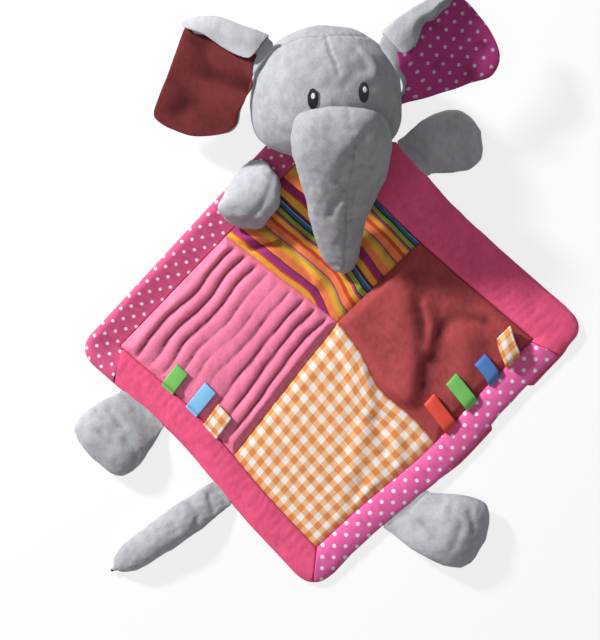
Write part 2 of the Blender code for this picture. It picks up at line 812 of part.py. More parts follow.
def build_head(group, skin, stuffing):
    """The head's skin, open at the neck seam, and its stuffing."""
    pivot = Vector((0, PLAN["neck"], 0))
    place("head_skin", skin_mesh("head_skin", head_surface(0.0), head_surface(SKIN)), skin, group, pivot)
    rings, tip = head_surface(PAD_DEPTH)
    place("head_stuffing", pad_mesh("head_stuffing", (rings[1:], tip)), stuffing, group, pivot)


def build_trunk(group, cutters, skin, stuffing):
    """The trunk's skin and stuffing, both cut to the face that they are sewn to."""
    hinge = HEAD_MIDDLE + Vector(
        [share * radius for share, radius in zip(TRUNK_HINGE_SHARES, HEAD_RADII)]
    )
    face = place("face_cutter", pad_mesh("face_cutter", head_surface(-GAP)), skin, cutters)
    face.hide_render = True
    face.display_type = "WIRE"
    outer, inner = trunk_surface(0.0), trunk_surface(SKIN)
    pieces = (
        place("trunk_skin", skin_mesh("trunk_skin", outer, inner), skin, group, hinge),
        place("trunk_stuffing", pad_mesh("trunk_stuffing", trunk_surface(PAD_DEPTH)), stuffing, group, hinge),
    )
    for piece in pieces:
        cut = piece.modifiers.new("face", "BOOLEAN")
        cut.operation = "DIFFERENCE"
        cut.solver = "EXACT"
        cut.object = face


def stitched_oval(name, shares, width, height, lift, sides, group, thread, pivot):
    """A raised oval of embroidery that follows the face."""
    oval = bmesh.new()
    loops = []
    for level, reach in ((0.0, 0.55), (0.0, 1.0), (0.5, 1.0), (1.0, 0.82), (1.0, 0.45)):
        loop = []
        for step in range(sides):
            angle = math.tau * step / sides
            side = shares[0] + reach * width / 2 * math.cos(angle) / HEAD_RADII.x
            up = shares[1] + reach * height / 2 * math.sin(angle) / HEAD_RADII.y
            loop.append(on_head(side, up, lift + THREAD * level)[0])
        loops.append(ring_of(oval, loop))
    for first, second in zip(loops, loops[1:]):
        band(oval, first, second)
    fan(oval, loops[0], oval.verts.new(on_head(*shares, lift)[0]))
    fan(oval, loops[-1], oval.verts.new(on_head(*shares, lift + THREAD)[0]))
    place(name, mesh_from(oval, name), thread, group, pivot)


def build_eyes(group, black, white):
    """Two embroidered eyes, each with a white highlight on it."""
    pivot = Vector((0, PLAN["neck"], 0))
    for side, shares in (("left", LEFT_EYE_SHARES), ("right", RIGHT_EYE_SHARES)):
        stitched_oval(f"eye_{side}", shares, EYE_WIDTH, EYE_HEIGHT, GAP, 14, group, black, pivot)
        glint = [
            shares[0] + GLINT_SHARES[0] * EYE_WIDTH / HEAD_RADII.x,
            shares[1] + GLINT_SHARES[1] * EYE_HEIGHT / HEAD_RADII.y,
        ]
        lift = THREAD + 2 * GAP
        stitched_oval(f"eye_glint_{side}", glint, GLINT_WIDTH, GLINT_HEIGHT, lift, 8, group, white, pivot)


def ear_frame(seam_shares, ear_shares, mirror):
    """An ear's seam on the head and its outline's corner and edge points."""
    low, high = (on_head(*shares)[0] for shares in seam_shares)
    crest, out = on_head(*((a + b) / 2 for a, b in zip(*seam_shares)))
    sweep = math.hypot(EAR_BACK, SEAM_TO_HINGE) + GAP
    lift = out * ((crest - (low + high) / 2).dot(out) + sweep)
    low, high = low + lift, high + lift
    middle = (low + high) / 2

    def spot(shares):
        side, up, rise = shares
        return middle + Vector((side * mirror, up, rise)) * EAR_SPAN

    points = {name: spot(shares) for name, shares in ear_shares.items() if name != "inner"}
    run = (high - low).normalized()
    heart = (points["tip"] + points["crown"]) / 2 - middle
    away = (heart - run * heart.dot(run)).normalized()
    front = away.cross(run) * mirror
    drop = sweep - GAP - SEAM_TO_HINGE * away.dot(out) - EAR_BACK * front.dot(out)
    points["inner"] = [spot(shares) for shares in ear_shares["inner"]]
    points["inner"] += [end - away * SEAM_TO_HINGE - out * drop for end in (low, high)]
    return {"points": points, "pivot": middle, "axis": run * -mirror}


EARS = {
    "left": ear_frame(LEFT_EAR_SEAM_SHARES, LEFT_EAR_SHARES, -1),
    "right": ear_frame(RIGHT_EAR_SEAM_SHARES, RIGHT_EAR_SHARES, 1),
}


def ear_spot(points, out, up):
    """A point of an ear's cupped sheet, by its shares from seam to rim and from bottom to top."""
    bottom_corner, top_corner = points["inner"][0], points["inner"][-1]
    bottom = bend_through(bottom_corner, points["bottom"], points["tip"], out)
    top = bend_through(top_corner, points["top"], points["crown"], out)
    rim = bend_through(points["tip"], points["outer"], points["crown"], up)
    root = along(points["inner"], up)
    corners = lerp(lerp(bottom_corner, points["tip"], out), lerp(top_corner, points["crown"], out), up)
    cup = Vector((0, 0, -EAR_CUP)) * math.sin(math.pi * out) * math.sin(math.pi * up)
    return lerp(bottom, top, up) + lerp(root, rim, out) - corners + cup


def ear_normal(points, out, up):
    """The way that an ear's front faces at a point of it."""
    step = 1 / 64
    low_out, high_out = max(out - step, 0), min(out + step, 1)
    low_up, high_up = max(up - step, 0), min(up + step, 1)
    across = ear_spot(points, high_out, up) - ear_spot(points, low_out, up)
    rise = ear_spot(points, out, high_up) - ear_spot(points, out, low_up)
    normal = across.cross(rise).normalized()
    return normal if normal.z > 0 else -normal


def ear_columns():
    """Shares from an ear's seam to its rim. The first step is bare of the lining and the hood."""
    return [0.0, *(lerp(EAR_FREE_SHARE, 1.0, step / (EAR_COLUMNS - 1)) for step in range(EAR_COLUMNS))]


def ear_sheet(points, columns, lift):
    """Rows of points of an ear's sheet, moved to its front by a lift."""
    rows = []
    for row in range(EAR_ROWS + 1):
        up = row / EAR_ROWS
        rows.append([ear_spot(points, out, up) + ear_normal(points, out, up) * lift for out in columns])
    return rows


def hood_rows(points, columns):
    """The rows that roll the ear's back over its top edge and down over the lining."""
    roll = EAR_LINING / 2 + GAP
    rows = []
    for angle in (-45, 0, 45, 90):
        line = []
        for out in columns:
            edge, normal = ear_spot(points, out, 1.0), ear_normal(points, out, 1.0)
            rise = (edge - ear_spot(points, out, 1 - 1 / EAR_ROWS)).normalized()
            turn = math.radians(angle)
            middle = edge + normal * roll + rise * GAP
            line.append(middle + (rise * math.cos(turn) + normal * math.sin(turn)) * roll)
        rows.append(line)
    for step_share in (0.35, 0.7, 1.0):
        line = []
        for out in columns:
            up = 1 - along(HOOD_DEPTH_SHARES, out) * step_share
            lift = roll + roll + HOOD_FLARE * step_share
            line.append(ear_spot(points, out, up) + ear_normal(points, out, up) * lift)
        rows.append(line)
    return rows


def build_ear(side, group, skin, lining):
    """An ear: its plush back, rolled over the top as a hood, and the lining in front of it."""
    points, pivot = EARS[side]["points"], EARS[side]["pivot"]
    columns = ear_columns()
    mirrored = side == "left"
    rows = ear_sheet(points, columns, 0.0) + hood_rows(points, columns)
    back = sheet_mesh(f"ear_{side}_back", rows, mirrored, notch=EAR_ROWS)
    thicken(place(f"ear_{side}_back", back, skin, group, pivot), EAR_BACK)
    front_rows = ear_sheet(points, columns[1:], GAP + EAR_LINING)
    front = sheet_mesh(f"ear_{side}_lining", front_rows, mirrored)
    thicken(place(f"ear_{side}_lining", front, lining, group, pivot), EAR_LINING)


def tag_frame(name):
    """Where a tag leaves its seam, the seam's run, the tag's way, its size and how high it lies."""
    place_share, length_share, width_share = TAG_SHARES[name]
    seam, lean, _, _ = TAGS[name]
    length, width = RIBBON_LENGTH * length_share, RIBBON_WIDTH * width_share
    a, b = PLAN["inner_edges"][seam]
    start = lerp(a, b, place_share)
    root, run, _ = seam_line(a, b, place_share, width)
    way = Matrix.Rotation(math.radians(lean), 2) @ Vector((-run.y, run.x))
    under = PATCHES["patch_ribbed" if seam == "lower_left" else "patch_velour"]
    fold_share = 1.0 if under["ribs"] else max(
        ridge_lift(under["ridges"], start + way * length * out + run * width * side)
        for out in (1 / 4, 1 / 2, 3 / 4, 1)
        for side in (-1 / 2, 0, 1 / 2)
    )
    half_root = RIBBON_THICKNESS + RIBBON_SEAM_OPENING / 2
    axis_height = PATCH_TOP + GAP + math.hypot(half_root, RIBBON_TO_HINGE)
    return {
        "root": root,
        "run": run,
        "way": way,
        "length": length,
        "width": width,
        "axis_height": axis_height,
        "lie": max(PATCH_TOP + under["fold"] * fold_share + GAP * 2, axis_height - half_root),
        "pivot": plan(root, axis_height),
        "axis": plan(run),
    }


def ribbon_line(frame):
    """The folded ribbon's inner line, seen from its side: places along it and heights."""
    low = frame["axis_height"] - RIBBON_SEAM_OPENING / 2
    high = frame["axis_height"] + RIBBON_SEAM_OPENING / 2
    bottom = frame["lie"] + RIBBON_THICKNESS
    top = bottom + RIBBON_LOOP_OPENING
    radius = RIBBON_LOOP_OPENING / 2
    rise = frame["length"] / 5
    end = frame["length"] - RIBBON_THICKNESS - radius
    line = [(-RIBBON_TO_HINGE, low), (0.0, low), (rise, bottom), (end, bottom)]
    for angle in (-45, 0, 45):
        turn = math.radians(angle)
        line.append((end + radius * math.cos(turn), bottom + radius + radius * math.sin(turn)))
    line += [(end, top), (rise, top), (0.0, high), (-RIBBON_TO_HINGE, high)]
    return line


def build_tag(name, group):
    """A ribbon folded in half with its ends in a seam."""
    frame = tag_frame(name)
    _, _, colour, roughness = TAGS[name]
    rows = []
    for side in (-1 / 2, 1 / 2):
        edge = frame["root"] + frame["run"] * frame["width"] * side
        rows.append([plan(edge + frame["way"] * out, height) for out, height in ribbon_line(frame)])
    satin = cloth(name, colour, roughness)
    thicken(place(name, sheet_mesh(name, rows, flip=True), satin, group, frame["pivot"]), RIBBON_THICKNESS)


def main():
    """Build every piece of the lovey."""
    clear_scene()
    group = new_collection("comfort_blanket_lovey")
    cutters = new_collection("cutters")
    grey = cloth("grey_plush", GREY)
    stuffing = cloth("fibre_stuffing", STUFFING)
    dotted = cloth("dotted_cotton", PINK_DOTTED, 0.8)
    velour = cloth("pink_velour", PINK_VELOUR)
    burgundy = cloth("burgundy_velour", BURGUNDY)
    black = cloth("black_thread", BLACK, 0.4)
    build_back_panel(group, cloth("back_velour", PINK_VELOUR))
    build_patch("patch_stripe", group, cloth("striped_cotton", STRIPES, 0.8))
    build_patch("patch_ribbed", group, cloth("ribbed_plush", PINK_PLUSH))
    build_patch("patch_velour", group, burgundy)
    build_patch("patch_gingham", group, cloth("gingham_cotton", GINGHAM, 0.8))
    build_border("border_upper_left", "upper_left", ("top", "left"), group, dotted)
    build_border("border_lower_left", "lower_left", ("left", "bottom"), group, velour)
    build_border("border_lower_right", "lower_right", ("bottom", "right"), group, dotted)
    build_border("border_upper_right", "upper_right", ("right", "top"), group, velour)
    build_head(group, grey, stuffing)
    build_eyes(group, black, cloth("white_thread", WHITE, 0.4))
    build_trunk(group, cutters, grey, stuffing)
    build_ear("left", group, grey, burgundy)
    build_ear("right", group, grey, dotted)
    for name in LIMBS:
        build_limb(name, group, grey, stuffing)
    build_tail_knot(group, black)
    for name in TAGS:
        build_tag(name, group)


main()
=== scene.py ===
"""Comfort blanket lovey: the looks of its plush elephant, its patchwork blanket and its ribbon tags.

The toy lies on its back. +X runs to the right as seen from above, +Y up to the head, +Z faces the viewer.
Lengths are metres.
"""

import json
import math

import bmesh
import bpy
import numpy
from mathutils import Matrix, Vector, noise
from mathutils.bvhtree import BVHTree


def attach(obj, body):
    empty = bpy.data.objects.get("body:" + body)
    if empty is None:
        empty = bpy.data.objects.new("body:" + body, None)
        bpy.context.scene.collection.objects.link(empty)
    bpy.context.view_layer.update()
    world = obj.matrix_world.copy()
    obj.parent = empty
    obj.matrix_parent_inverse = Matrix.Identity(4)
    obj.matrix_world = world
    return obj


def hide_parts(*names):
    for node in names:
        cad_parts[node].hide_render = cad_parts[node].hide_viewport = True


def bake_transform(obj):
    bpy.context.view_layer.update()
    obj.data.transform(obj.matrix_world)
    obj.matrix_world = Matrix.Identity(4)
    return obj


bl_info = {
    "name": "Comfort Blanket Lovey",
    "version": (1, 0, 0),
    "blender": (4, 5, 0),
    "location": "3D View > Sidebar > Lovey",
    "description": "Makes a patchwork comfort blanket with a plush elephant and ribbon tags",
    "category": "Object",
}

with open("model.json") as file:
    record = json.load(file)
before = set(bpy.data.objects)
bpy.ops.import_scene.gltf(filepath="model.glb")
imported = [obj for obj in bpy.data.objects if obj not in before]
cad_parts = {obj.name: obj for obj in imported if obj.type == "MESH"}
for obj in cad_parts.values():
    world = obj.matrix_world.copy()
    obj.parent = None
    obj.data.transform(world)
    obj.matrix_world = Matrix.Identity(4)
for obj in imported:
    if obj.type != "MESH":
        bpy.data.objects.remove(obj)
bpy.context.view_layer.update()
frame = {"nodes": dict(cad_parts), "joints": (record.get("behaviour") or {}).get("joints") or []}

# The way to the viewer
UP = Vector((0, 0, 1))

# Heights of the blanket's layers
BACK_TOP = 0.0014
PATCH_BASE = 0.0017
PATCH_TOP = 0.0031

# The blanket's seams in plan
NECK = 0.137
MIDDLE = Vector((0.0094, 0.0087))
OUTER = {
    "top_left": Vector((-0.0399, 0.137)),
    "left": Vector((-0.1777, -0.0117)),
    "bottom": Vector((-0.0088, -0.1830)),
    "right": Vector((0.1874, 0.0053)),
    "top_right": Vector((0.0504, 0.137)),
}
INNER = {
    "left": Vector((-0.1469, -0.0094)),
    "bottom": Vector((-0.0063, -0.1521)),
    "right": Vector((0.1488, -0.0033)),
    "top": Vector((-0.0060, 0.137)),
}
JOINS = {
    "upper_left": Vector((-0.0708, 0.0697)),
    "upper_right": Vector((0.0698, 0.0682)),
    "lower_left": Vector((-0.0682, -0.0893)),
    "lower_right": Vector((0.0751, -0.0740)),
}

# Where the blanket is pulled out of square: place, push and reach
PULLS = (
    ((-0.1114, -0.0778), (0.0051, 0.0049), 0.0601),
    ((0.0831, -0.0919), (0.0037, -0.0039), 0.0495),
    ((0.0990, 0.0884), (-0.0032, -0.0030), 0.0796),
    ((0.0440, -0.0360), (-0.0050, -0.0038), 0.0210),
)

# How far from the neck seam the pull reaches its full strength
NECK_HOLD = 0.0442

# How strongly painted shade darkens the grey plush in its hollows and a painted highlight pales its crests
GREY_GAIN = 0.35

# Colours, as linear light
GREY = (0.345, 0.352, 0.372)
BURGUNDY = (0.36, 0.062, 0.066)
PINK_PLUSH = (0.80, 0.20, 0.33)
PINK_VELOUR = (0.80, 0.10, 0.22)
PINK_DOTTED = (0.82, 0.13, 0.38)
# The dotted cotton darkened for the rolled upper left border: painted shade
PINK_DOTTED_IN_SHADE = (0.64, 0.085, 0.22)
PINK_SHADED = (0.40, 0.036, 0.19)
DOT_WHITE = (0.92, 0.80, 0.88)
DOT_SHADED = (0.55, 0.46, 0.58)
CHECK_ORANGE = (0.78, 0.245, 0.055)
CHECK_MIDDLE = (0.92, 0.52, 0.27)
CHECK_WHITE = (0.94, 0.91, 0.91)
YELLOW = (0.80, 0.38, 0.05)
OLIVE = (0.42, 0.37, 0.04)
ORANGE = (0.87, 0.22, 0.07)
RED = (0.60, 0.065, 0.02)
MAGENTA = (0.45, 0.05, 0.15)
PURPLE = (0.30, 0.026, 0.16)
MAROON = (0.16, 0.012, 0.02)
LIME = (0.27, 0.36, 0.05)
INK = (0.018, 0.012, 0.010)
NAVY = (0.04, 0.11, 0.26)
SKY = (0.20, 0.38, 0.60)
FLOSS_BLACK = (0.004, 0.004, 0.007)
FLOSS_WHITE = (0.78, 0.84, 0.92)
KNOT_GREY = (0.02, 0.03, 0.035)
SATIN_GREEN = (0.16, 0.50, 0.09)
SATIN_LEAF = (0.15, 0.50, 0.09)
SATIN_LIGHT_BLUE = (0.22, 0.52, 0.86)
SATIN_BLUE = (0.05, 0.17, 0.48)
SATIN_RED = (0.74, 0.05, 0.02)

# The striped cotton's repeat: each band's width in millimetres and its colour, from the upper right border,
# then the length of the whole in metres
BANDS = (
    (0.7, SKY),
    (2.6, NAVY),
    (1.6, INK),
    (3.8, LIME),
    (0.8, INK),
    (2.0, MAGENTA),
    (4.0, YELLOW),
    (3.4, RED),
    (5.6, ORANGE),
    (1.6, MAGENTA),
    (2.2, OLIVE),
    (4.4, YELLOW),
    (6.0, ORANGE),
    (0.9, MAROON),
    (5.4, PURPLE),
    (1.4, RED),
    (5.6, YELLOW),
    (1.4, MAROON),
    (1.2, INK),
)
BAND_REPEAT = 0.0546


def lerp(a, b, share):
    """The point or value at a share of the way from a to b."""
    return a + (b - a) * share


def smooth(share):
    """An even step from 0 to 1 with level ends."""
    share = min(max(share, 0.0), 1.0)
    return share * share * (3 - 2 * share)


def ripple(point, size, seed=0.0):
    """A soft wave from -1 to 1 that varies over a point's surroundings of that size."""
    place = Vector((*point[:2], point[2] if len(point) > 2 else 0.0))
    return noise.noise(place / size + Vector((seed,) * 3))


def pulled(point):
    """A point of the blanket's plan, moved to where the cloth is pulled. The neck seam holds it."""
    spot = Vector(point[:2])
    hold = smooth((NECK - spot.y) / NECK_HOLD)
    push = Vector((0, 0))
    for place, shift, reach in PULLS:
        away = (spot - Vector(place)).length / reach
        push += Vector(shift) * math.exp(-away * away)
    return spot + push * hold


def ridge(spot, line, left, right):
    """How near a spot is to a crest, from 0 to 1, with its own reach on either side of the line."""
    nearest, side = 1.0, 0.0
    for a, b in zip(line, line[1:]):
        run = b - a
        share = min(max((spot - a).dot(run) / run.length_squared, 0.0), 1.0)
        away = spot - a - run * share
        if away.length < nearest:
            nearest, side = away.length, (run.x * away.y - run.y * away.x) / run.length
    reach = lerp(right, left, smooth(0.5 + side / (left + right)))
    return math.exp(-((nearest / reach) ** 2))


def curved(line, steps=8):
    """A chain of points made into an even curve."""
    knots = [Vector(spot) for spot in line]
    return [through(knots, step / steps) for step in range(steps + 1)] if len(knots) > 2 else knots


def along(points, share):
    """The point at a share of the length of a chain of points."""
    lengths = [(b - a).length for a, b in zip(points, points[1:])]
    left = min(max(share, 0.0), 1.0) * sum(lengths)
    for a, b, length in zip(points, points[1:], lengths):
        if left <= length and length > 0:
            return lerp(a, b, left / length)
        left -= length
    return points[-1].copy()


# Finishes


class Value:
    """A number that varies over a surface, used in sums as a plain number is."""

    def __init__(self, finish, socket):
        self.finish, self.socket = finish, socket

    def maths(self, operation, first, second=0.0):
        """One Math operation on two values."""
        made = self.finish.node("ShaderNodeMath", {"operation": operation}, {0: first, 1: second})
        return Value(self.finish, made.outputs[0])

    def __add__(self, other):
        return self.maths("ADD", self, other)

    def __sub__(self, other):
        return self.maths("SUBTRACT", self, other)

    def __mul__(self, other):
        return self.maths("MULTIPLY", self, other)

    def __rsub__(self, other):
        return self.maths("SUBTRACT", other, self)

    __radd__ = __add__
    __rmul__ = __mul__

    def of(self, operation, second=0.0):
        """This value through one Math operation, such as SINE or FRACT."""
        return self.maths(operation, self, second)

    def clamp(self):
        """This value kept from 0 to 1."""
        return self.of("MAXIMUM", 0.0).of("MINIMUM", 1.0)


class Nodes:
    """A node tree that is built up."""

    def __init__(self, tree):
        self.tree = tree

    def node(self, kind, settings=None, inputs=None):
        """One node with its settings and the values or links of its sockets."""
        made = self.tree.nodes.new(kind)
        for key, value in (settings or {}).items():
            if key == "stops":
                ramp = made.color_ramp
                while len(ramp.elements) < len(value):
                    ramp.elements.new(1.0)
                for stop, (place, colour) in zip(ramp.elements, value):
                    stop.position, stop.color = place, (*colour, 1.0)
            elif key == "interpolation" and kind == "ShaderNodeValToRGB":
                made.color_ramp.interpolation = value
            else:
                setattr(made, key, value)
        for key, value in (inputs or {}).items():
            self.feed(made.inputs[key], value)
        return made

    def feed(self, socket, value):
        """Give a socket its value or link."""
        if isinstance(value, Value):
            self.tree.links.new(value.socket, socket)
        elif isinstance(value, bpy.types.NodeSocket):
            self.tree.links.new(value, socket)
        elif isinstance(value, (tuple, list)) and socket.type == "RGBA":
            socket.default_value = (*value, 1.0)
        else:
            socket.default_value = value


# How fast painted shade deepens the colour in a hollow and a painted highlight pales it on a crest, and the
# most that each may do
HOLLOW_GAIN, HOLLOW_MOST = 3.2, 0.80
CREST_GAIN, CREST_MOST = 2.0, 0.30


class Finish(Nodes):
    """A material of cloth, plush or thread."""

    def __init__(self, name, roughness=0.9, sheen=0.0, sheen_roughness=0.4, specular=0.3):
        self.material = bpy.data.materials.new(name)
        self.material.use_nodes = True
        super().__init__(self.material.node_tree)
        self.shader = self.tree.nodes["Principled BSDF"]
        for socket, value in (
            ("Roughness", roughness),
            ("Sheen Weight", sheen),
            ("Sheen Roughness", sheen_roughness),
            ("Specular IOR Level", specular),
        ):
            self.shader.inputs[socket].default_value = value

    def set(self, name, value):
        """Give one of the shader's sockets its value or link."""
        self.feed(self.shader.inputs[name], value)

    def object_place(self):
        """Where a point is on the object."""
        return self.node("ShaderNodeTexCoord").outputs["Object"]

    def across_and_up(self):
        """The two distances of the piece's own map, in metres."""
        made = self.node("ShaderNodeUVMap", {"uv_map": "cloth"})
        parts = self.node("ShaderNodeSeparateXYZ", None, {0: made.outputs[0]})
        return Value(self, parts.outputs[0]), Value(self, parts.outputs[1]), made.outputs[0]

    def hollow(self):
        """How deep a point lies under its surroundings, in millimetres: below 0 on a crest."""
        made = self.node("ShaderNodeAttribute", {"attribute_name": "hollow"})
        return Value(self, made.outputs["Fac"])

    def painted_crease_light(self, base, deep, crest, gain=1.0):
        """A colour with painted shade that deepens it in the hollows and a painted highlight that pales it on
        the crests.
        """
        hollow = self.hollow() * gain
        base = self.mix((hollow * -CREST_GAIN).clamp() * CREST_MOST, base, crest)
        return self.mix((hollow * HOLLOW_GAIN).clamp() * HOLLOW_MOST, base, deep)

    def stretched(self, place, scale, turn=0.0):
        """A place with each direction scaled, and turned about Z."""
        sockets = {"Vector": place, "Scale": scale, "Rotation": (0, 0, turn)}
        return self.node("ShaderNodeMapping", None, sockets).outputs[0]

    def noise(self, place, scale, detail=2.0, roughness=0.5):
        """Soft noise from 0 to 1."""
        sockets = {"Vector": place, "Scale": scale, "Detail": detail, "Roughness": roughness}
        return Value(self, self.node("ShaderNodeTexNoise", None, sockets).outputs[0])

    def mix(self, share, first, second, blend="MIX"):
        """Two colours mixed by a share."""
        settings = {"data_type": "RGBA", "blend_type": blend}
        return self.node("ShaderNodeMix", settings, {0: share, 6: first, 7: second}).outputs[2]

    def ramp(self, value, stops, interpolation="LINEAR"):
        """Colours along a value."""
        settings = {"stops": stops, "interpolation": interpolation}
        return self.node("ShaderNodeValToRGB", settings, {0: value}).outputs[0]

    def bump(self, height, distance, strength=1.0):
        """Relief of a height from 0 to 1."""
        sockets = {"Height": height, "Distance": distance, "Strength": strength}
        self.set("Normal", self.node("ShaderNodeBump", None, sockets).outputs[0])


def shade(colour, factor):
    """A colour made lighter or darker."""
    return tuple(min(channel * factor, 1.0) for channel in colour)


# How many tufts of the pile a clump is wide, and the size of a brushed patch in metres
CLUMP_TUFTS = 4.5
BRUSHED_PATCH = 0.016


def plush(name, colour, deep, pile, gain=1.0):
    """Short pile: brushed patches, clumps, flecks between the tufts and a soft sheen, with painted shade in its
    hollows and a painted highlight on its crests.
    """
    finish = Finish(name, roughness=0.95, sheen=0.16, sheen_roughness=0.5, specular=0.12)
    place = finish.object_place()
    tufts = finish.noise(place, 1 / pile, 3.0, 0.65)
    clumps = finish.noise(finish.stretched(place, (1.0, 0.7, 1.0), 0.6), 1 / (pile * CLUMP_TUFTS), 2.0, 0.6)
    lay = finish.noise(finish.stretched(place, (1.0, 0.55, 1.0), 0.5), 1 / BRUSHED_PATCH, 3.0, 0.6)
    level = ((lay - 0.5) * 0.8 + (clumps - 0.5) * 0.7 + (tufts - 0.5) * 0.7 + 0.5).clamp()
    base = finish.ramp(level, ((0.0, shade(colour, deep)), (0.5, colour), (1.0, shade(colour, 1.30))))
    # Painted shade in the hollows and a painted highlight on the crests
    finish.set("Base Color", finish.painted_crease_light(base, shade(colour, deep * 0.42), shade(colour, 1.35), gain))
    finish.set("Roughness", 0.98 - (lay * 0.12))
    finish.bump(tufts * 0.45 + clumps * 0.55, 0.0010, 0.6)
    finish.shader.inputs["Sheen Tint"].default_value = (*shade(colour, 1.6), 1.0)
    return finish.material


def waves(distance, half):
    """An even wave from -1 to 1, each half of it that wide."""
    return (distance * (math.pi / half)).of("SINE")


# The painted shade that darkens a cotton's colours in its hollows, and the width of one thread of it
COTTON_CREASE_SHADE = (0.36, 0.24, 0.26)
COTTON_THREAD = 0.00042


def cotton(name, colour_of):
    """Plain woven cotton, its threads over and under each other, with a printed or dyed pattern and painted
    shade in its hollows.
    """
    finish = Finish(name, roughness=0.82, sheen=0.12, specular=0.25)
    across, up, flat = finish.across_and_up()
    warp, weft = waves(across, COTTON_THREAD), waves(up, COTTON_THREAD)
    weave = (warp * weft) * 0.5 + 0.5
    slub = finish.noise(finish.stretched(flat, (1.0, 0.12, 1.0)), 900.0, 2.0, 0.6)
    pattern = colour_of(finish, across, up, flat)
    shadow = (weave * 0.16 + slub * 0.22 + 0.78).clamp()
    dim = finish.node("ShaderNodeCombineColor", None, {0: shadow, 1: shadow, 2: shadow})
    woven = finish.mix(1.0, pattern, dim.outputs[0], "MULTIPLY")
    # Painted shade for the hollows
    darker = finish.mix(1.0, woven, COTTON_CREASE_SHADE, "MULTIPLY")
    finish.set("Base Color", finish.painted_crease_light(woven, darker, woven))
    finish.bump(weave * 0.7 + slub * 0.3, 0.00025, 0.6)
    return finish.material


# How sharply a printed dot ends, and how sharply one check gives way to the next
INK_EDGE, CHECK_EDGE = 3200.0, 6.0


def dotted(name, ground, dot, spacing, size):
    """Cotton printed with round dots in staggered rows."""

    def colour_of(finish, across, up, flat):
        rows = 1 / spacing / math.sqrt(2)
        first, second = (across + up) * rows, (across - up) * rows
        a, b = first.of("FRACT") - 0.5, second.of("FRACT") - 0.5
        away = (a * a + b * b).of("SQRT") * spacing
        ink = ((size / 2 - away) * INK_EDGE + 0.5).clamp()
        fade = finish.noise(flat, 60.0, 2.0)
        cloth = finish.mix(fade, shade(ground, 0.86), shade(ground, 1.12))
        return finish.mix(ink * 0.92, cloth, dot)

    return cotton(name, colour_of)


def gingham(name, check):
    """Orange checked cotton: dyed and white threads both ways."""

    def colour_of(finish, across, up, flat):
        warp, weft = ((waves(way, check) * CHECK_EDGE + 0.5).clamp() for way in (across, up))
        level = (warp + weft) * 0.5
        fade = finish.noise(flat, 90.0, 3.0)
        cloth = finish.ramp(level, ((0.0, CHECK_WHITE), (0.5, CHECK_MIDDLE), (1.0, CHECK_ORANGE)))
        return finish.mix(fade * 0.22, cloth, shade(CHECK_MIDDLE, 0.85))

    return cotton(name, colour_of)


def striped(name, bands, period):
    """Cotton with a repeat of woven bands."""

    def colour_of(finish, across, up, flat):
        drift = finish.noise(flat, 240.0, 2.0)
        share = ((up + (drift - 0.5) * 0.0006) * (1 / period)).of("FRACT")
        return finish.ramp(share, bands, "CONSTANT")

    return cotton(name, colour_of)


# The width of a satin ribbon's cross rib, of a gingham ribbon's check and of a strand of embroidery floss
RIBBON_RIB = 0.00028
RIBBON_CHECK = 0.0045
FLOSS_STRAND = 0.00042


def satin(name, colour):
    """Woven ribbon: fine cross ribs with a soft shine."""
    finish = Finish(name, roughness=0.38, specular=0.55, sheen=0.05)
    _, up, flat = finish.across_and_up()
    rib = waves(up, RIBBON_RIB) * 0.5 + 0.5
    wear = finish.noise(flat, 500.0, 3.0)
    finish.set("Base Color", finish.mix(rib * 0.25 + wear * 0.25, shade(colour, 0.82), shade(colour, 1.25)))
    finish.set("Roughness", 0.32 + wear * 0.22)
    finish.bump(rib, 0.00012, 0.5)
    return finish.material


def thread(name, colour):
    """Embroidery floss laid side by side."""
    finish = Finish(name, roughness=0.5, specular=0.25)
    place = finish.object_place()
    parts = finish.node("ShaderNodeSeparateXYZ", None, {0: place})
    strand = waves(Value(finish, parts.outputs[0]), FLOSS_STRAND) * 0.5 + 0.5
    fluff = finish.noise(place, 1500.0, 2.0)
    finish.set("Base Color", finish.mix(strand * 0.6 + fluff * 0.4, shade(colour, 0.55), shade(colour, 1.2)))
    finish.bump(strand, 0.0003, 0.8)
    return finish.material


# Shapes


def apply(piece):
    """Apply every modifier of a piece."""
    bpy.ops.object.select_all(action="DESELECT")
    piece.select_set(True)
    bpy.context.view_layer.objects.active = piece
    for modifier in list(piece.modifiers):
        bpy.ops.object.modifier_apply(modifier=modifier.name)


def finer(piece, levels=1):
    """Subdivide a piece into smooth, finer faces."""
    fine = piece.modifiers.new("fine", "SUBSURF")
    fine.levels = fine.render_levels = levels
    apply(piece)


def shifted(piece, shift_of):
    """Move each point of a piece by its own shift, all of them worked out before the first one moves."""
    verts = piece.data.vertices
    shifts = [shift_of(vert) for vert in verts]
    for vert, shift in zip(verts, shifts):
        vert.co += shift


def finished(name, shape, material, body, slot, nodes=(), levels=0):
    """A mesh put in the scene as a smooth piece that rides on its body."""
    mesh = bpy.data.meshes.new(name)
    shape.to_mesh(mesh)
    shape.free()
    piece = bpy.data.objects.new(name, mesh)
    bpy.context.scene.collection.objects.link(piece)
    mesh.materials.append(material)
    mesh.shade_smooth()
    if levels:
        finer(piece, levels)
    if nodes:
        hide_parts(*nodes)
    if body:
        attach(piece, body)
    return piece


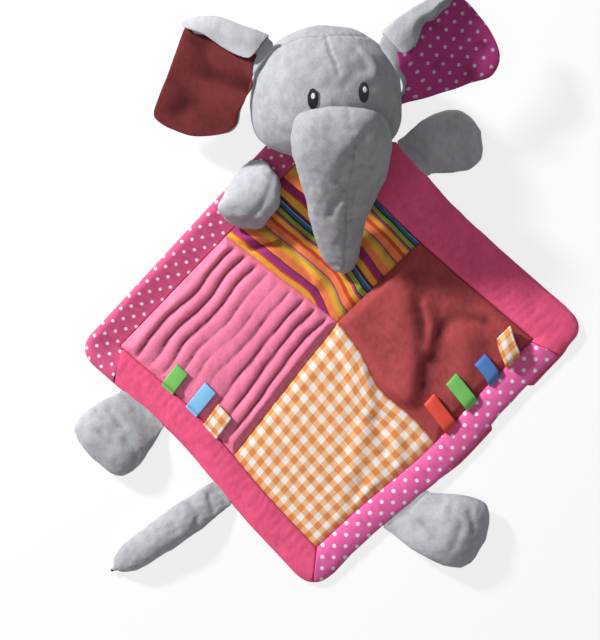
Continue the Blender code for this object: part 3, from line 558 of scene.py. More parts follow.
def hollowed(piece, rounds=10):
    """Note for the finishes' painted shade and painted highlights how deep each point lies under its
    surroundings, which grow with the rounds.
    """
    mesh = piece.data
    count = len(mesh.vertices)
    places, normals = numpy.empty(count * 3), numpy.empty(count * 3)
    ends = numpy.empty(len(mesh.edges) * 2, dtype=numpy.int64)
    mesh.vertices.foreach_get("co", places)
    mesh.vertices.foreach_get("normal", normals)
    mesh.edges.foreach_get("vertices", ends)
    places, normals, ends = places.reshape(-1, 3), normals.reshape(-1, 3), ends.reshape(-1, 2)
    degree = numpy.bincount(ends.ravel(), minlength=count)[:, None]
    around = places.copy()
    for _ in range(rounds):
        total = numpy.stack(
            [
                numpy.bincount(ends[:, 0], around[ends[:, 1], axis], count)
                + numpy.bincount(ends[:, 1], around[ends[:, 0], axis], count)
                for axis in range(3)
            ],
            axis=1,
        )
        around = (around + total / numpy.maximum(degree, 1)) / 2
    depth = ((around - places) * normals).sum(axis=1) * 1000.0
    layer = mesh.attributes.new("hollow", "FLOAT", "POINT")
    layer.data.foreach_set("value", depth.astype(numpy.float32))


def grid(rows, places):
    """An open sheet through rows of points, with its map of cloth distances."""
    shape = bmesh.new()
    layer = shape.loops.layers.uv.new("cloth")
    verts = [[shape.verts.new(point) for point in row] for row in rows]
    for r in range(len(rows) - 1):
        for c in range(len(rows[0]) - 1):
            spots = ((r, c), (r, c + 1), (r + 1, c + 1), (r + 1, c))
            face = shape.faces.new([verts[i][j] for i, j in spots])
            for loop, (i, j) in zip(face.loops, spots):
                loop[layer].uv = places[i][j]
    return shape


def walled(name, shape, thickness, *rest, **more):
    """A sheet given its thickness, under its upper side."""
    piece = finished(name, shape, *rest, **more)
    wall = piece.modifiers.new("wall", "SOLIDIFY")
    wall.thickness, wall.offset = thickness, -1
    wall.use_even_offset = False
    apply(piece)
    return piece


def area_of(shape):
    """The area of a sheet's faces."""
    return sum(face.calc_area() for face in shape.faces)


def closed(loops, caps=True, tip=None):
    """A closed form through loops of points, with its ends capped or drawn to a tip."""
    shape = bmesh.new()
    layer = shape.loops.layers.uv.new("cloth")
    verts = [[shape.verts.new(point) for point in loop] for loop in loops]
    count = len(loops[0])
    run = 0.0
    for r in range(len(loops) - 1):
        step = (Vector(loops[r + 1][0]) - Vector(loops[r][0])).length
        girth = 0.0
        for c in range(count):
            after = (c + 1) % count
            width = (Vector(loops[r][after]) - Vector(loops[r][c])).length
            face = shape.faces.new((verts[r][c], verts[r][after], verts[r + 1][after], verts[r + 1][c]))
            map_ends = ((run, girth), (run, girth + width), (run + step, girth + width), (run + step, girth))
            for loop, uv in zip(face.loops, map_ends):
                loop[layer].uv = uv
            girth += width
        run += step
    if caps:
        shape.faces.new(verts[0])
    if tip is not None:
        end = shape.verts.new(tip)
        for c in range(count):
            shape.faces.new((verts[-1][c], verts[-1][(c + 1) % count], end))
    elif caps:
        shape.faces.new(verts[-1])
    bmesh.ops.recalc_face_normals(shape, faces=shape.faces)
    return shape


def skin_tree(*nodes):
    """The faces of some CAD nodes, to be searched by rays."""
    points, faces = [], []
    for name in nodes:
        mesh = frame["nodes"][name].data
        start = len(points)
        points += [vert.co.copy() for vert in mesh.vertices]
        faces += [[start + index for index in face.vertices] for face in mesh.polygons]
    return BVHTree.FromPolygons(points, faces)


def hit(tree, middle, way, reach=0.12):
    """Where a ray from outside towards a middle meets the outer skin."""
    place = tree.ray_cast(middle + way * reach, -way, reach)[0]
    return place if place is not None else middle + way * 0.001


# How many points go round a limb; and as shares of its length, how far ahead and behind its direction is read,
# and how far along it the rings turn out of the seam's line
LIMB_SIDES = 40
LIMB_LOOK = 0.03
SEAM_HOLD = 0.65


def wrapped(tree, path, shares, seam=None):
    """Rings of points on the outer skin round a path, the first ones in line with the seam."""
    rings = []
    for share in shares:
        middle = along(path, share)
        ahead, behind = along(path, min(share + LIMB_LOOK, 1.0)), along(path, max(share - LIMB_LOOK, 0.0))
        run = (ahead - behind).normalized()
        across = run.cross(UP).normalized()
        lift = across.cross(run).normalized()
        if seam:
            sewn = seam if seam.dot(across) > 0 else -seam
            across = lerp(sewn, across, smooth(share / SEAM_HOLD)).normalized()
        left, right = hit(tree, middle, across), hit(tree, middle, -across)
        middle = (left + right) / 2
        top, bottom = hit(tree, middle, lift), hit(tree, middle, -lift)
        middle = (top + bottom) / 2
        wide, tall = (left - right).length / 2, (top - bottom).length / 2
        ring = []
        for step in range(LIMB_SIDES):
            angle = math.tau * step / LIMB_SIDES
            way = (across * wide * math.cos(angle) + lift * tall * math.sin(angle)).normalized()
            ring.append(hit(tree, middle, way))
        rings.append(ring)
    return rings


def centre(loop):
    """The middle of a ring of points."""
    return sum(loop, Vector((0, 0, 0))) / len(loop)


def eased(loops, times):
    """Rings smoothed round and along, with their ends held."""
    count = len(loops[0])
    for _ in range(times):
        fresh = [loops[0]]
        for before, loop, after in zip(loops, loops[1:], loops[2:]):
            around = [before[c] + after[c] + loop[c - 1] + loop[(c + 1) % count] for c in range(count)]
            fresh.append([point * 0.4 + near * 0.15 for point, near in zip(loop, around)])
        loops = fresh + [loops[-1]]
    return loops


# How many frames a skin is blown up for
CLOTH_FRAMES = 20


def swell(piece, pressure, most, pinned):
    """Blow a stuffed skin up a little as cloth, and keep each point near where it was."""
    rest = [vert.co.copy() for vert in piece.data.vertices]
    group = piece.vertex_groups.new(name="held")
    group.add([vert.index for vert in piece.data.vertices if pinned(vert.co)], 1.0, "REPLACE")
    cloth = piece.modifiers.new("cloth", "CLOTH")
    cloth.settings.quality = 5
    cloth.settings.use_pressure = True
    cloth.settings.uniform_pressure_force = pressure
    cloth.settings.vertex_group_mass = "held"
    cloth.settings.effector_weights.gravity = 0.0
    cloth.point_cache.frame_start, cloth.point_cache.frame_end = 1, CLOTH_FRAMES
    scene = bpy.context.scene
    for step in range(1, CLOTH_FRAMES + 1):
        scene.frame_set(step)
    apply(piece)
    scene.frame_set(1)
    for vert, start in zip(piece.data.vertices, rest):
        move = vert.co - start
        if move.length > most:
            vert.co = start + move.normalized() * most
    piece.vertex_groups.clear()


def refined(name, node, material, slot, body, wobble=0.0, size=0.015):
    """A CAD piece's own form with soft, even faces, a map along its plane and a slight wobble."""
    shape = bmesh.new()
    shape.from_mesh(frame["nodes"][node].data)
    bmesh.ops.remove_doubles(shape, verts=shape.verts, dist=0.00001)
    bends = {"angle_face_threshold": math.radians(40), "angle_shape_threshold": math.radians(50)}
    bmesh.ops.join_triangles(shape, faces=shape.faces, **bends)
    piece = finished(name, shape, material, None, slot, (node,), 2)
    mesh = piece.data
    if wobble:
        shifted(piece, lambda vert: vert.normal * wobble * ripple(vert.co, size, 3.0))
    facing = Vector((0, 0, 0))
    for face in mesh.polygons:
        if face.normal.z > 0:
            facing += face.normal * face.area
    facing.normalize()
    across = Vector((0, 1, 0)).cross(facing).normalized()
    up = facing.cross(across)
    layer = mesh.uv_layers.new(name="cloth")
    for loop in mesh.loops:
        point = mesh.vertices[loop.vertex_index].co
        layer.data[loop.index].uv = (point.dot(across), point.dot(up))
    if body:
        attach(piece, body)
    return piece


def pushed(points, pushes):
    """Points moved by soft pushes, each a place, a shift and a reach."""
    moved = []
    for point in points:
        shift = Vector((0, 0, 0))
        for place, push, reach in pushes:
            away = (point - Vector(place)).length / reach
            shift += Vector(push) * math.exp(-away * away)
        moved.append(point + shift)
    return moved


def push_piece(piece, pushes):
    """Move a piece's points by soft pushes."""
    spots = pushed([vert.co.copy() for vert in piece.data.vertices], pushes)
    for vert, spot in zip(piece.data.vertices, spots):
        vert.co = spot


def band_stops():
    """The repeat's bands as stops of a colour ramp."""
    whole = sum(width for width, _ in BANDS)
    stops, run = [], 0.0
    for width, colour in BANDS:
        stops.append((run / whole, colour))
        run += width
    return stops


# Folds of the patches: a line in plan, its reach to its left and right and its height
STRIPE_FOLDS = (
    (((-0.0530, 0.0707), (-0.0141, 0.0283)), 0.0060, 0.0060, 0.0030),
    (((-0.0283, 0.0813), (-0.0053, 0.0389)), 0.0050, 0.0050, 0.0026),
    (((0.0442, 0.0742), (0.0247, 0.0354)), 0.0060, 0.0060, 0.0022),
    (((-0.0633, 0.0668), (-0.0378, 0.0696)), 0.0036, 0.0036, 0.0026),
    (((-0.0534, 0.0597), (-0.0335, 0.0647)), 0.0026, 0.0026, -0.0022),
)
VELOUR_FOLDS = (
    (
        (
            (0.0460, 0.0583), (0.0510, 0.0420), (0.0560, 0.0228),
            (0.0595, -0.0007), (0.0610, -0.0220), (0.0588, -0.0397),
        ),
        0.0098,
        0.0170,
        0.0060,
    ),
    (((0.0652, 0.0157), (0.0702, -0.0078), (0.0688, -0.0362)), 0.0060, 0.0060, -0.0012),
    (((0.0716, 0.0199), (0.0752, 0.0057), (0.0730, -0.0099)), 0.0052, 0.0048, 0.0026),
    (((0.0773, -0.0170), (0.0816, 0.0015), (0.0929, 0.0114), (0.1128, 0.0100)), 0.0052, 0.0062, -0.0018),
    (((0.1014, 0.0015), (0.0986, -0.0184), (0.0915, -0.0411)), 0.0100, 0.0100, 0.0026),
    (((0.1142, -0.0078), (0.1157, -0.0284)), 0.0050, 0.0050, -0.0008),
    (((0.0588, -0.0554), (0.0673, -0.0618), (0.0794, -0.0760)), 0.0050, 0.0050, -0.0014),
    (((0.0858, 0.0512), (0.1029, 0.0256)), 0.0125, 0.0125, -0.0020),
)
GINGHAM_FOLDS = (
    (((0.0290, -0.0269), (0.0318, -0.0539)), 0.0050, 0.0060, 0.0018),
    (((0.0170, -0.0200), (0.0200, -0.0440)), 0.0060, 0.0050, 0.0012),
    (((0.0332, -0.0610), (0.0403, -0.0823)), 0.0040, 0.0050, -0.0008),
    (((0.0261, -0.0681), (0.0190, -0.0965)), 0.0070, 0.0070, 0.0014),
    (((0.0247, -0.1057), (0.0176, -0.1285)), 0.0045, 0.0045, -0.0008),
    (((0.0332, -0.1072), (0.0247, -0.1249)), 0.0050, 0.0060, 0.0014),
    (((0.0496, -0.0752), (0.0531, -0.0930)), 0.0050, 0.0060, 0.0014),
)

# Each patch's height without folds, its folds, and how widely each point is set against its surroundings for
# its painted shade and highlights
FOLDS = {
    "patch_stripe": (0.0012, STRIPE_FOLDS, 10),
    "patch_ribbed": (0.0, (), 10),
    "patch_velour": (0.0021, VELOUR_FOLDS, 36),
    "patch_gingham": (0.0012, GINGHAM_FOLDS, 10),
}

# Each patch's corners: near left, near right, far right and far left along its own weave
PATCHES = {
    "patch_stripe": (MIDDLE, JOINS["upper_right"], INNER["top"], JOINS["upper_left"]),
    "patch_ribbed": (JOINS["lower_left"], MIDDLE, JOINS["upper_left"], INNER["left"]),
    "patch_velour": (MIDDLE, JOINS["lower_right"], INNER["right"], JOINS["upper_right"]),
    "patch_gingham": (INNER["bottom"], JOINS["lower_right"], MIDDLE, JOINS["lower_left"]),
}
RIBS = 10

# How far from its seams a patch rises to its full height, puckers, and dips into the seam
SEAM_RISE, SEAM_PUCKER, SEAM_DIP = 0.0065, 0.004, 0.0022

# The size of one face of a patch's cloth and the thickness of the cloth
CLOTH_STEP, CLOTH_WALL = 0.0011, 0.0008

# The width that the stripes fill: at the velour patch's seam, and from a third of the way up
STRIPE_SPANS = (0.091, 0.106)


def ribbed_lift(across, up, spot, cloth):
    """The ribbed plush's height: ribs that wander, fainter half way up and at the tags' seam."""
    phase = RIBS * up + 0.42 * ripple(spot, 0.040, 1.0) + 0.07 * ripple(spot, 0.012, 5.0)
    faint = 0.62 * math.exp(-(((up - 0.50) / 0.17) ** 2))
    if up < 0.8:
        faint += 0.5 * math.exp(-((across / 0.16) ** 2))
    depth = max(0.98 + 0.25 * smooth(up * 2.2 - 1.2) - faint + 0.60 * ripple(spot, 0.030, 7.0), 0.12)
    valley = 1 - abs(math.sin(math.pi * phase)) ** 0.50
    return cloth.rib_height * (1.0 - depth * valley) + 0.0005 * ripple(spot, 0.013, 3.0)


def folded_lift(spot, cloth, base, folds):
    """A flat patch's height with its folds and slight waves."""
    lift = base
    for line, left, right, height in folds:
        lift += height * cloth.fold_depth * ridge(spot, line, left, right)
    return lift + (0.0004 * ripple(spot, 0.016, 2.0) + 0.00022 * ripple(spot, 0.007, 4.0))


def sewn_lift(lift, near, spot):
    """A patch's height, drawn down and puckered where a seam is near."""
    pucker = 0.00030 * ripple(spot, 0.0035, 9.0) * math.exp(-((near / SEAM_PUCKER) ** 2))
    return max(lift, 0.0) * smooth(near / SEAM_RISE) + pucker - 0.0009 * (1 - smooth(near / SEAM_DIP))


def make_patch(name, material, slot, cloth):
    """One patch of the blanket's front."""
    corners = PATCHES[name]
    ends = [pulled(corner) for corner in corners]
    width = ((ends[1] - ends[0]).length + (ends[2] - ends[3]).length) / 2
    length = ((ends[3] - ends[0]).length + (ends[2] - ends[1]).length) / 2
    columns, rows = round(width / CLOTH_STEP), round(length / CLOTH_STEP)
    points, places = [], []
    base, folds, rounds = FOLDS[name]
    folds = [(curved(line), *rest) for line, *rest in folds]
    for row in range(rows + 1):
        up = row / rows
        line, marks = [], []
        for column in range(columns + 1):
            across = column / columns
            flat = lerp(lerp(corners[0], corners[1], across), lerp(corners[3], corners[2], across), up)
            spot = pulled(flat)
            if name == "patch_ribbed":
                lift = ribbed_lift(across, up, spot, cloth)
            else:
                lift = folded_lift(spot, cloth, base, folds)
            near = min(across * width, (1 - across) * width, up * length, (1 - up) * length)
            line.append(Vector((*spot, PATCH_TOP + sewn_lift(lift, near, spot))))
            if name == "patch_stripe":
                reach = lerp(*STRIPE_SPANS, smooth(up / 0.3))
                drift = 0.0016 * ripple(spot, 0.024, 6.0) + 0.0006 * ripple(spot, 0.009, 8.0)
                marks.append((up * length, (1 - across) * reach + drift))
            else:
                marks.append((across * width, up * length))
        points.append(line)
        places.append(marks)
    shape = grid(points, places)
    area = area_of(shape)
    piece = walled(name + "_cloth", shape, CLOTH_WALL, material, "blanket", slot, (name,))
    hollowed(piece, rounds)
    flat = (math.sqrt(area * width / length), math.sqrt(area * length / width))
    return piece


# A blunt corner's reach and steps, and the spacing of points along a straight border
CORNER_REACH, CORNER_STEPS = 0.017, 14
BORDER_SPACING = 0.0014

# How far past the side corners the upper borders end: on the outer edge at the left and at the right, and on
# the inner edge
LEFT_END, RIGHT_END, INNER_END = 0.036, 0.029, 0.002


def corner_path(before, corner, after):
    """Points round a blunt corner of the blanket."""
    first = corner + (before - corner).normalized() * CORNER_REACH
    last = corner + (after - corner).normalized() * CORNER_REACH
    points = []
    for step in range(CORNER_STEPS + 1):
        t = step / CORNER_STEPS
        points.append(first * (1 - t) ** 2 + corner * 2 * t * (1 - t) + last * t * t)
    return points


def run_between(a, b):
    """Even points from a to b, without the last."""
    count = max(2, round((b - a).length / BORDER_SPACING))
    return [lerp(a, b, i / count) for i in range(count)]


def paired(outer, inner_a, inner_b):
    """Outer points, each with its partner on the straight inner edge from a to b."""
    return [(point, lerp(inner_a, inner_b, i / max(len(outer) - 1, 1))) for i, point in enumerate(outer)]


def border_runs():
    """Each border's outer and inner points in pairs, counterclockwise from the neck's left."""
    left = corner_path(OUTER["top_left"], OUTER["left"], OUTER["bottom"])
    bottom = corner_path(OUTER["left"], OUTER["bottom"], OUTER["right"])
    right = corner_path(OUTER["bottom"], OUTER["right"], OUTER["top_right"])
    left_end = OUTER["left"] + (OUTER["bottom"] - OUTER["left"]).normalized() * LEFT_END
    right_end = OUTER["right"] + (OUTER["bottom"] - OUTER["right"]).normalized() * RIGHT_END
    inner_left = INNER["left"] + (INNER["bottom"] - INNER["left"]).normalized() * INNER_END
    inner_right = INNER["right"] + (INNER["bottom"] - INNER["right"]).normalized() * INNER_END
    half = CORNER_STEPS // 2
    neck_left, neck_right = OUTER["top_left"], OUTER["top_right"]
    upper_left = paired(run_between(neck_left, left[0]) + [left[0]], INNER["top"], INNER["left"])
    last_run = left[1:] + run_between(left[-1], left_end)[1:] + [left_end]
    upper_left += paired(last_run, INNER["left"], inner_left)
    lower_left = paired(run_between(left_end, bottom[0]) + bottom[: half + 1], inner_left, INNER["bottom"])
    lower_right = bottom[half:] + run_between(bottom[-1], right_end)[1:] + [right_end]
    lower_right = paired(lower_right, INNER["bottom"], inner_right)
    upper_right = paired(run_between(right_end, right[0]) + right, inner_right, INNER["right"])
    last_run = run_between(right[-1], neck_right)[1:] + [neck_right]
    upper_right += paired(last_run, INNER["right"], INNER["top"])
    return {
        "border_upper_left": upper_left,
        "border_lower_left": lower_left,
        "border_lower_right": lower_right,
        "border_upper_right": upper_right,
    }


# How many faces a border strip is wide, the most that it may stand high, its height at its edges, and the
# distance from one of its pleats to the next
BORDER_STEPS = 18
BORDER_LIMIT = 0.0069
BORDER_EDGE = 0.0010
PLEAT_SPACING = 0.0065

# A strip whose crest lies nearer to its outer edge than this is rolled like a tube and slopes down behind it
ROLLED_CREST = 0.3


def make_border(name, pairs, material, slot, cloth, pleats, crest):
    """One padded border strip, highest at a share of its width from the outer edge."""
    way = (pairs[-1][0] - pairs[0][0]).normalized()
    side = Vector((-way.y, way.x))
    loops = []
    for outer, inner in pairs:
        loop = []
        for step in range(BORDER_STEPS + 1):
            share = step / BORDER_STEPS
            flat = pulled(lerp(outer, inner, share))
            bulge = (share / crest if share < crest else (1 - share) / (1 - crest)) * 0.5
            dome = math.sqrt(max(1 - abs(2 * bulge - 1) ** 2.3, 0.0))
            if crest < ROLLED_CREST and share > crest:
                dome = ((1 - share) / (1 - crest)) ** 1.15
            elif share > crest:
                dome *= lerp(1.0, 0.85, smooth((share - crest) / (1 - crest)))
            wrinkle = 0.10 * ripple(flat, 0.013, 2.0) + 0.07 * ripple(flat, 0.006, 4.0)
            height = PATCH_BASE + lerp(BORDER_EDGE, cloth.border_height, dome * (0.94 + wrinkle))
            pleat = math.sin(math.tau * flat.dot(way) / PLEAT_SPACING + 5 * ripple(flat, 0.02, 6.0))
            height = min(height + pleats * pleat * dome * smooth(share * 1.3 - 0.2), BORDER_LIMIT)
            out = (flat - pulled(inner)).normalized() if share < 0.9 else Vector((0, 0))
            flat = flat + out * 0.0009 * ripple(flat, 0.016, 11.0) * (1 - share)
            loop.append(Vector((*flat, height)))
        first, last = loop[0], loop[-1]
        loop = [Vector((first.x, first.y, PATCH_BASE)), *loop, Vector((last.x, last.y, PATCH_BASE))]
        loops.append(loop)
    shape = closed(loops)
    layer = shape.loops.layers.uv["cloth"]
    for face in shape.faces:
        for loop in face.loops:
            spot = Vector(loop.vert.co[:2])
            loop[layer].uv = (spot.dot(way), spot.dot(side))
    piece = finished(name + "_strip", shape, material, "blanket", slot, (name,), 1)
    hollowed(piece, rounds=16)
    return piece


# How far the back panel peeks out past the lower right border: share of the border's run, share of the most
OVERHANG = (
    (0.0, 0.0), (0.06, 0.5), (0.14, 0.0), (0.48, 0.0), (0.56, 0.7),
    (0.70, 1.0), (0.708, 0.0), (0.87, 0.0), (0.878, 1.0), (1.0, 0.7),
)
PEEK = 0.0034
BACK_WALL = 0.0013


def peeking(place):
    """How much of the back panel peeks out at a share of the lower right border."""
    for (before, low), (after, high) in zip(OVERHANG, OVERHANG[1:]):
        if place <= after:
            return lerp(low, high, (place - before) / (after - before))
    return OVERHANG[-1][1]


def make_back(runs, material):
    """The back panel: one sheet under the whole blanket."""
    outline = []
    for name, pairs in runs.items():
        count = len(pairs) - 1
        for step, (outer, inner) in enumerate(pairs[:-1] if name != "border_upper_right" else pairs):
            spot = pulled(outer)
            if name == "border_lower_right":
                share = peeking(step / count)
            elif name == "border_upper_right":
                share = 0.7 * (1 - smooth(step / count * 14))
            else:
                share = 0.0
            spot += (outer - inner).normalized() * PEEK * share
            outline.append(spot)
    heart = Vector((0.0, 0.0))
    shares = [1.0, 0.994, 0.98, *(1 - 0.02 - 0.055 * step for step in range(1, 17)), 0.06]
    shape = bmesh.new()
    layer = shape.loops.layers.uv.new("cloth")
    rings = []
    for share in shares:
        height = BACK_TOP - 0.0004 * (1 - smooth((1 - share) / 0.008))
        rings.append([shape.verts.new(Vector((*lerp(heart, spot, share), height))) for spot in outline])
    count = len(outline)
    for first, second in zip(rings, rings[1:]):
        for c in range(count):
            shape.faces.new((first[c], first[(c + 1) % count], second[(c + 1) % count], second[c]))
    end = shape.verts.new((0, 0, BACK_TOP))
    for c in range(count):
        shape.faces.new((rings[-1][c], rings[-1][(c + 1) % count], end))
    for face in shape.faces:
        for loop in face.loops:
            loop[layer].uv = loop.vert.co[:2]
    area = area_of(shape)
    piece = walled("back_sheet", shape, BACK_WALL, material, "blanket", "back_velour", ("back_panel",))
    hollowed(piece)
    return piece


# The trunk's rings: its front and its back, each as a share of its length from the head's middle and of the
# head's depth up, then its width and its sideways shift, both as shares of its greatest width
TRUNK_RINGS = (
    (-0.161, 0.783, -0.267, 0.433, 0.92, 0.136),
    (-0.139, 0.908, -0.325, 0.483, 0.96, 0.136),
    (-0.138, 0.995, -0.382, 0.433, 0.99, 0.138),
    (-0.202, 1.051, -0.435, 0.370, 1.01, 0.145),
    (-0.308, 1.039, -0.493, 0.308, 0.96, 0.158),
    (-0.419, 0.945, -0.566, 0.233, 0.87, 0.165),
    (-0.521, 0.808, -0.636, 0.158, 0.76, 0.155),
    (-0.620, 0.658, -0.718, 0.089, 0.64, 0.138),
    (-0.718, 0.495, -0.800, 0.039, 0.54, 0.132),
    (-0.816, 0.345, -0.870, 0.014, 0.455, 0.145),
    (-0.915, 0.208, -0.945, 0.003, 0.370, 0.168),
    (-0.984, 0.108, -0.992, 0.010, 0.210, 0.190),
)
HEAD_MIDDLE = Vector((0.0, 0.1656, 0.040))
TRUNK_LENGTH, TRUNK_WIDTH, HEAD_DEPTH, TRUNK_FLOOR = 0.122, 0.066, 0.080, 0.0074
TRUNK_STEPS, TRUNK_SIDES = 70, 72


def through(values, share):
    """A smooth value through a row of values, at a share of the row."""
    place = share * (len(values) - 1)
    near = min(int(place), len(values) - 2)
    t = place - near
    a, b = values[near], values[near + 1]
    before = values[near - 1] if near > 0 else a * 2 - b
    after = values[near + 2] if near + 2 < len(values) else b * 2 - a
    slope, bend = b - before, 2 * before - 5 * a + 4 * b - after
    twist = 3 * a - before - 3 * b + after
    return 0.5 * (2 * a + slope * t + bend * t * t + twist * t**3)


def trunk_loops():
    """The trunk's rings from inside the face to its tip, nearly square at the face and round at the tip."""
    table = list(zip(*TRUNK_RINGS))
    loops = []
    for ring in range(TRUNK_STEPS + 1):
        share = ring / TRUNK_STEPS
        front_y, front_z, back_y, back_z, width, shift = (through(column, share) for column in table)
        front, back = (
            Vector((shift * TRUNK_WIDTH, HEAD_MIDDLE.y + y * TRUNK_LENGTH, TRUNK_FLOOR + z * HEAD_DEPTH))
            for y, z in ((front_y, front_z), (back_y, back_z))
        )
        half = (front - back) / 2
        middle, up = (front + back) / 2, half.normalized()
        box = lerp(3.0, 2.0, smooth(share / 0.5))
        loop = []
        for step in range(TRUNK_SIDES):
            angle = math.tau * step / TRUNK_SIDES
            side, lift = math.cos(angle), math.sin(angle)
            side = math.copysign(abs(side) ** (2 / box), side)
            lift = math.copysign(abs(lift) ** (2 / box), lift)
            loop.append(middle + Vector((1, 0, 0)) * side * width * TRUNK_WIDTH / 2 + up * lift * half.length)
        loops.append(loop)
    return loops


# How much wider than a seam its puckers reach
PUCKER_REACH = 3.2


def creased(piece, lines, depth, reach, pucker=0.0, period=0.005):
    """Seams sewn into a stuffed skin: each line draws it in and puckers it."""
    lines = [[Vector(spot) for spot in line] for line in lines]

    def shift_of(vert):
        shift = 0.0
        for line in lines:
            nearest, run, place = 1.0, 0.0, 0.0
            for a, b in zip(line, line[1:]):
                way = b - a
                share = min(max((vert.co - a).dot(way) / way.length_squared, 0.0), 1.0)
                away = (vert.co - a - way * share).length
                if away < nearest:
                    nearest, place = away, run + share * way.length
                run += way.length
            near = math.exp(-((nearest / reach) ** 2))
            soft = math.exp(-((nearest / (reach * PUCKER_REACH)) ** 2)) - near
            shift -= depth * near
            shift += pucker * soft * math.sin(math.tau * place / period + 3 * ripple(vert.co, 0.012, 2.0))
        return vert.normal * shift

    shifted(piece, shift_of)


def rumpled(piece, amount, size, seed):
    """Slight hollows and swellings of a stuffed skin."""

    def shift_of(vert):
        waves_there = ripple(vert.co, size, seed) + 0.4 * ripple(vert.co, size / 3, seed + 5)
        return vert.normal * amount * waves_there

    shifted(piece, shift_of)


def on_skin(tree, points, reach=0.1):
    """Points moved onto a skin, from above or from below."""
    moved = []
    for point in points:
        place = tree.ray_cast(point + UP * reach, -UP, reach * 2)[0]
        moved.append(place if place is not None else point)
    return moved


# Limbs: the middle line's root and tip, and its height half way
LIMBS = {
    "arm_left": ((-0.0507, 0.1227, 0.0091), (-0.0585, 0.0741, 0.0125), 0.0190),
    "arm_right": ((0.0626, 0.1250, 0.0034), (0.1100, 0.1437, 0.0055), 0.0120),
    "leg_left": ((-0.1299, -0.0532, 0.0034), (-0.1655, -0.0883, 0.0051), 0.0110),
    "leg_right": ((0.0571, -0.1241, 0.0034), (0.1135, -0.1466, 0.0051), 0.0110),
    "tail": ((-0.0735, -0.1130, 0.0034), (-0.1503, -0.1671, 0.0032), 0.0088),
}

# Where a limb is shaped, as a place, a shift and a reach
LIMB_PUSHES = {
    "arm_left": (
        ((-0.0655, 0.1150, 0.0150), (-0.0060, 0.0040, 0.0), 0.0150),
        ((-0.0790, 0.0890, 0.0100), (0.0055, 0.0010, 0.0), 0.0100),
        ((-0.0400, 0.0850, 0.0170), (0.0030, 0.0000, 0.0), 0.0120),
        ((-0.0340, 0.0780, 0.0140), (-0.0045, 0.0045, 0.0), 0.0080),
        ((-0.0330, 0.1200, 0.0140), (-0.0050, -0.0035, 0.0), 0.0085),
    ),
}

# Folds of the limbs' plush, as lines in plan
LIMB_FOLDS = {
    "arm_left": (((-0.0355, 0.1128), (-0.0425, 0.0910), (-0.0559, 0.0790)),),
    "leg_left": (
        ((-0.1517, -0.0534), (-0.1425, -0.0639)),
        ((-0.1397, -0.0745), (-0.1319, -0.0850), (-0.1348, -0.0942)),
        ((-0.1587, -0.0688), (-0.1503, -0.0759)),
    ),
    "leg_right": (
        ((0.0877, -0.1224), (0.0947, -0.1336), (0.0898, -0.1484)),
        ((0.1018, -0.1252), (0.1046, -0.1378)),
        ((0.0666, -0.1322), (0.0757, -0.1428)),
    ),
    "tail": (
        ((-0.0960, -0.1188), (-0.0897, -0.1280), (-0.0911, -0.1378)),
        ((-0.0820, -0.1139), (-0.0791, -0.1245)),
        ((-0.1108, -0.1266), (-0.1052, -0.1378)),
    ),
}

# Where a limb's first ring lies on its middle line and how far the others run on, as shares of its length
FIRST_RING, RING_RUN = 0.012, 0.972

# How far a limb's root is tucked into the border's seam, and how small it is drawn there
ROOT_TUCK, ROOT_DRAWN = 0.0034, 0.90

# How much the tail is widened, where along it, and over what share of it
TAIL_BLUNT, TAIL_END, TAIL_REACH = 0.30, 0.86, 0.20


def blunted(loop, more):
    """A ring made wider, and higher but not lower, by a share."""
    middle = centre(loop)
    fresh = []
    for point in loop:
        away = point - middle
        rise = 1 + more if away.z > 0 else 1
        fresh.append(middle + Vector((away.x * (1 + more), away.y * (1 + more), away.z * rise)))
    return fresh


def joint_of(body):
    """The joint that carries a body."""
    return next(joint for joint in frame["joints"] if joint["child"] == body)


def make_limb(name, material, swelling):
    """One arm, leg or the tail, tucked into the blanket's edge unless it is the left arm, which lies on it."""
    root, tip, middle = LIMBS[name]
    root, tip = Vector(root), Vector(tip)
    nodes = (name + "_skin", name + "_stuffing")
    tree = skin_tree(*nodes)
    waist = lerp(root, tip, 0.5)
    path = [root, Vector((waist.x, waist.y, middle)), tip]
    count, point_out = (56, 0.0032) if name == "tail" else (40, 0.0004)
    turns = [math.pi * step / count for step in range(count + 1)]
    shares = [FIRST_RING + RING_RUN * (0.5 - 0.5 * math.cos(turn)) for turn in turns]
    seam = None if name == "arm_left" else Vector(joint_of(name)["axis"])
    loops = eased(wrapped(tree, path, shares, seam), 3)
    loops = [pushed(loop, LIMB_PUSHES.get(name, ())) for loop in loops]
    if name == "tail":
        blunts = [TAIL_BLUNT * math.exp(-(((share - TAIL_END) / TAIL_REACH) ** 2)) for share in shares]
        loops = [blunted(loop, blunt) for loop, blunt in zip(loops, blunts)]
    if seam:
        outward = Vector((seam.y, -seam.x, 0))
        outward *= math.copysign(ROOT_TUCK, outward.dot(tip - root))
        heart = centre(loops[0])
        loops = [[lerp(heart, point, ROOT_DRAWN) - outward for point in loops[0]], *loops]
    shape = closed(loops, tip=tip + (tip - waist).normalized() * point_out)
    piece = finished(name + "_plush", shape, material, None, "grey_plush", nodes)
    swell(piece, swelling, most=0.0011, pinned=lambda point: (point - root).length < 0.006)
    way = (tip - root).normalized()
    finer(piece)
    rumpled(piece, amount=0.0008, size=0.014, seed=len(name))
    for line in LIMB_FOLDS.get(name, ()):
        fold = on_skin(tree, [Vector((*spot, 0.02)) for spot in line])
        creased(piece, [fold], depth=0.0012, reach=0.0030, pucker=0.00012)
    finer(piece)
    hollowed(piece, rounds=20)
    start, end = root - way * 0.001, root + way * 0.010
    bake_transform(piece)
    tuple(start)
    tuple(end)
    return piece


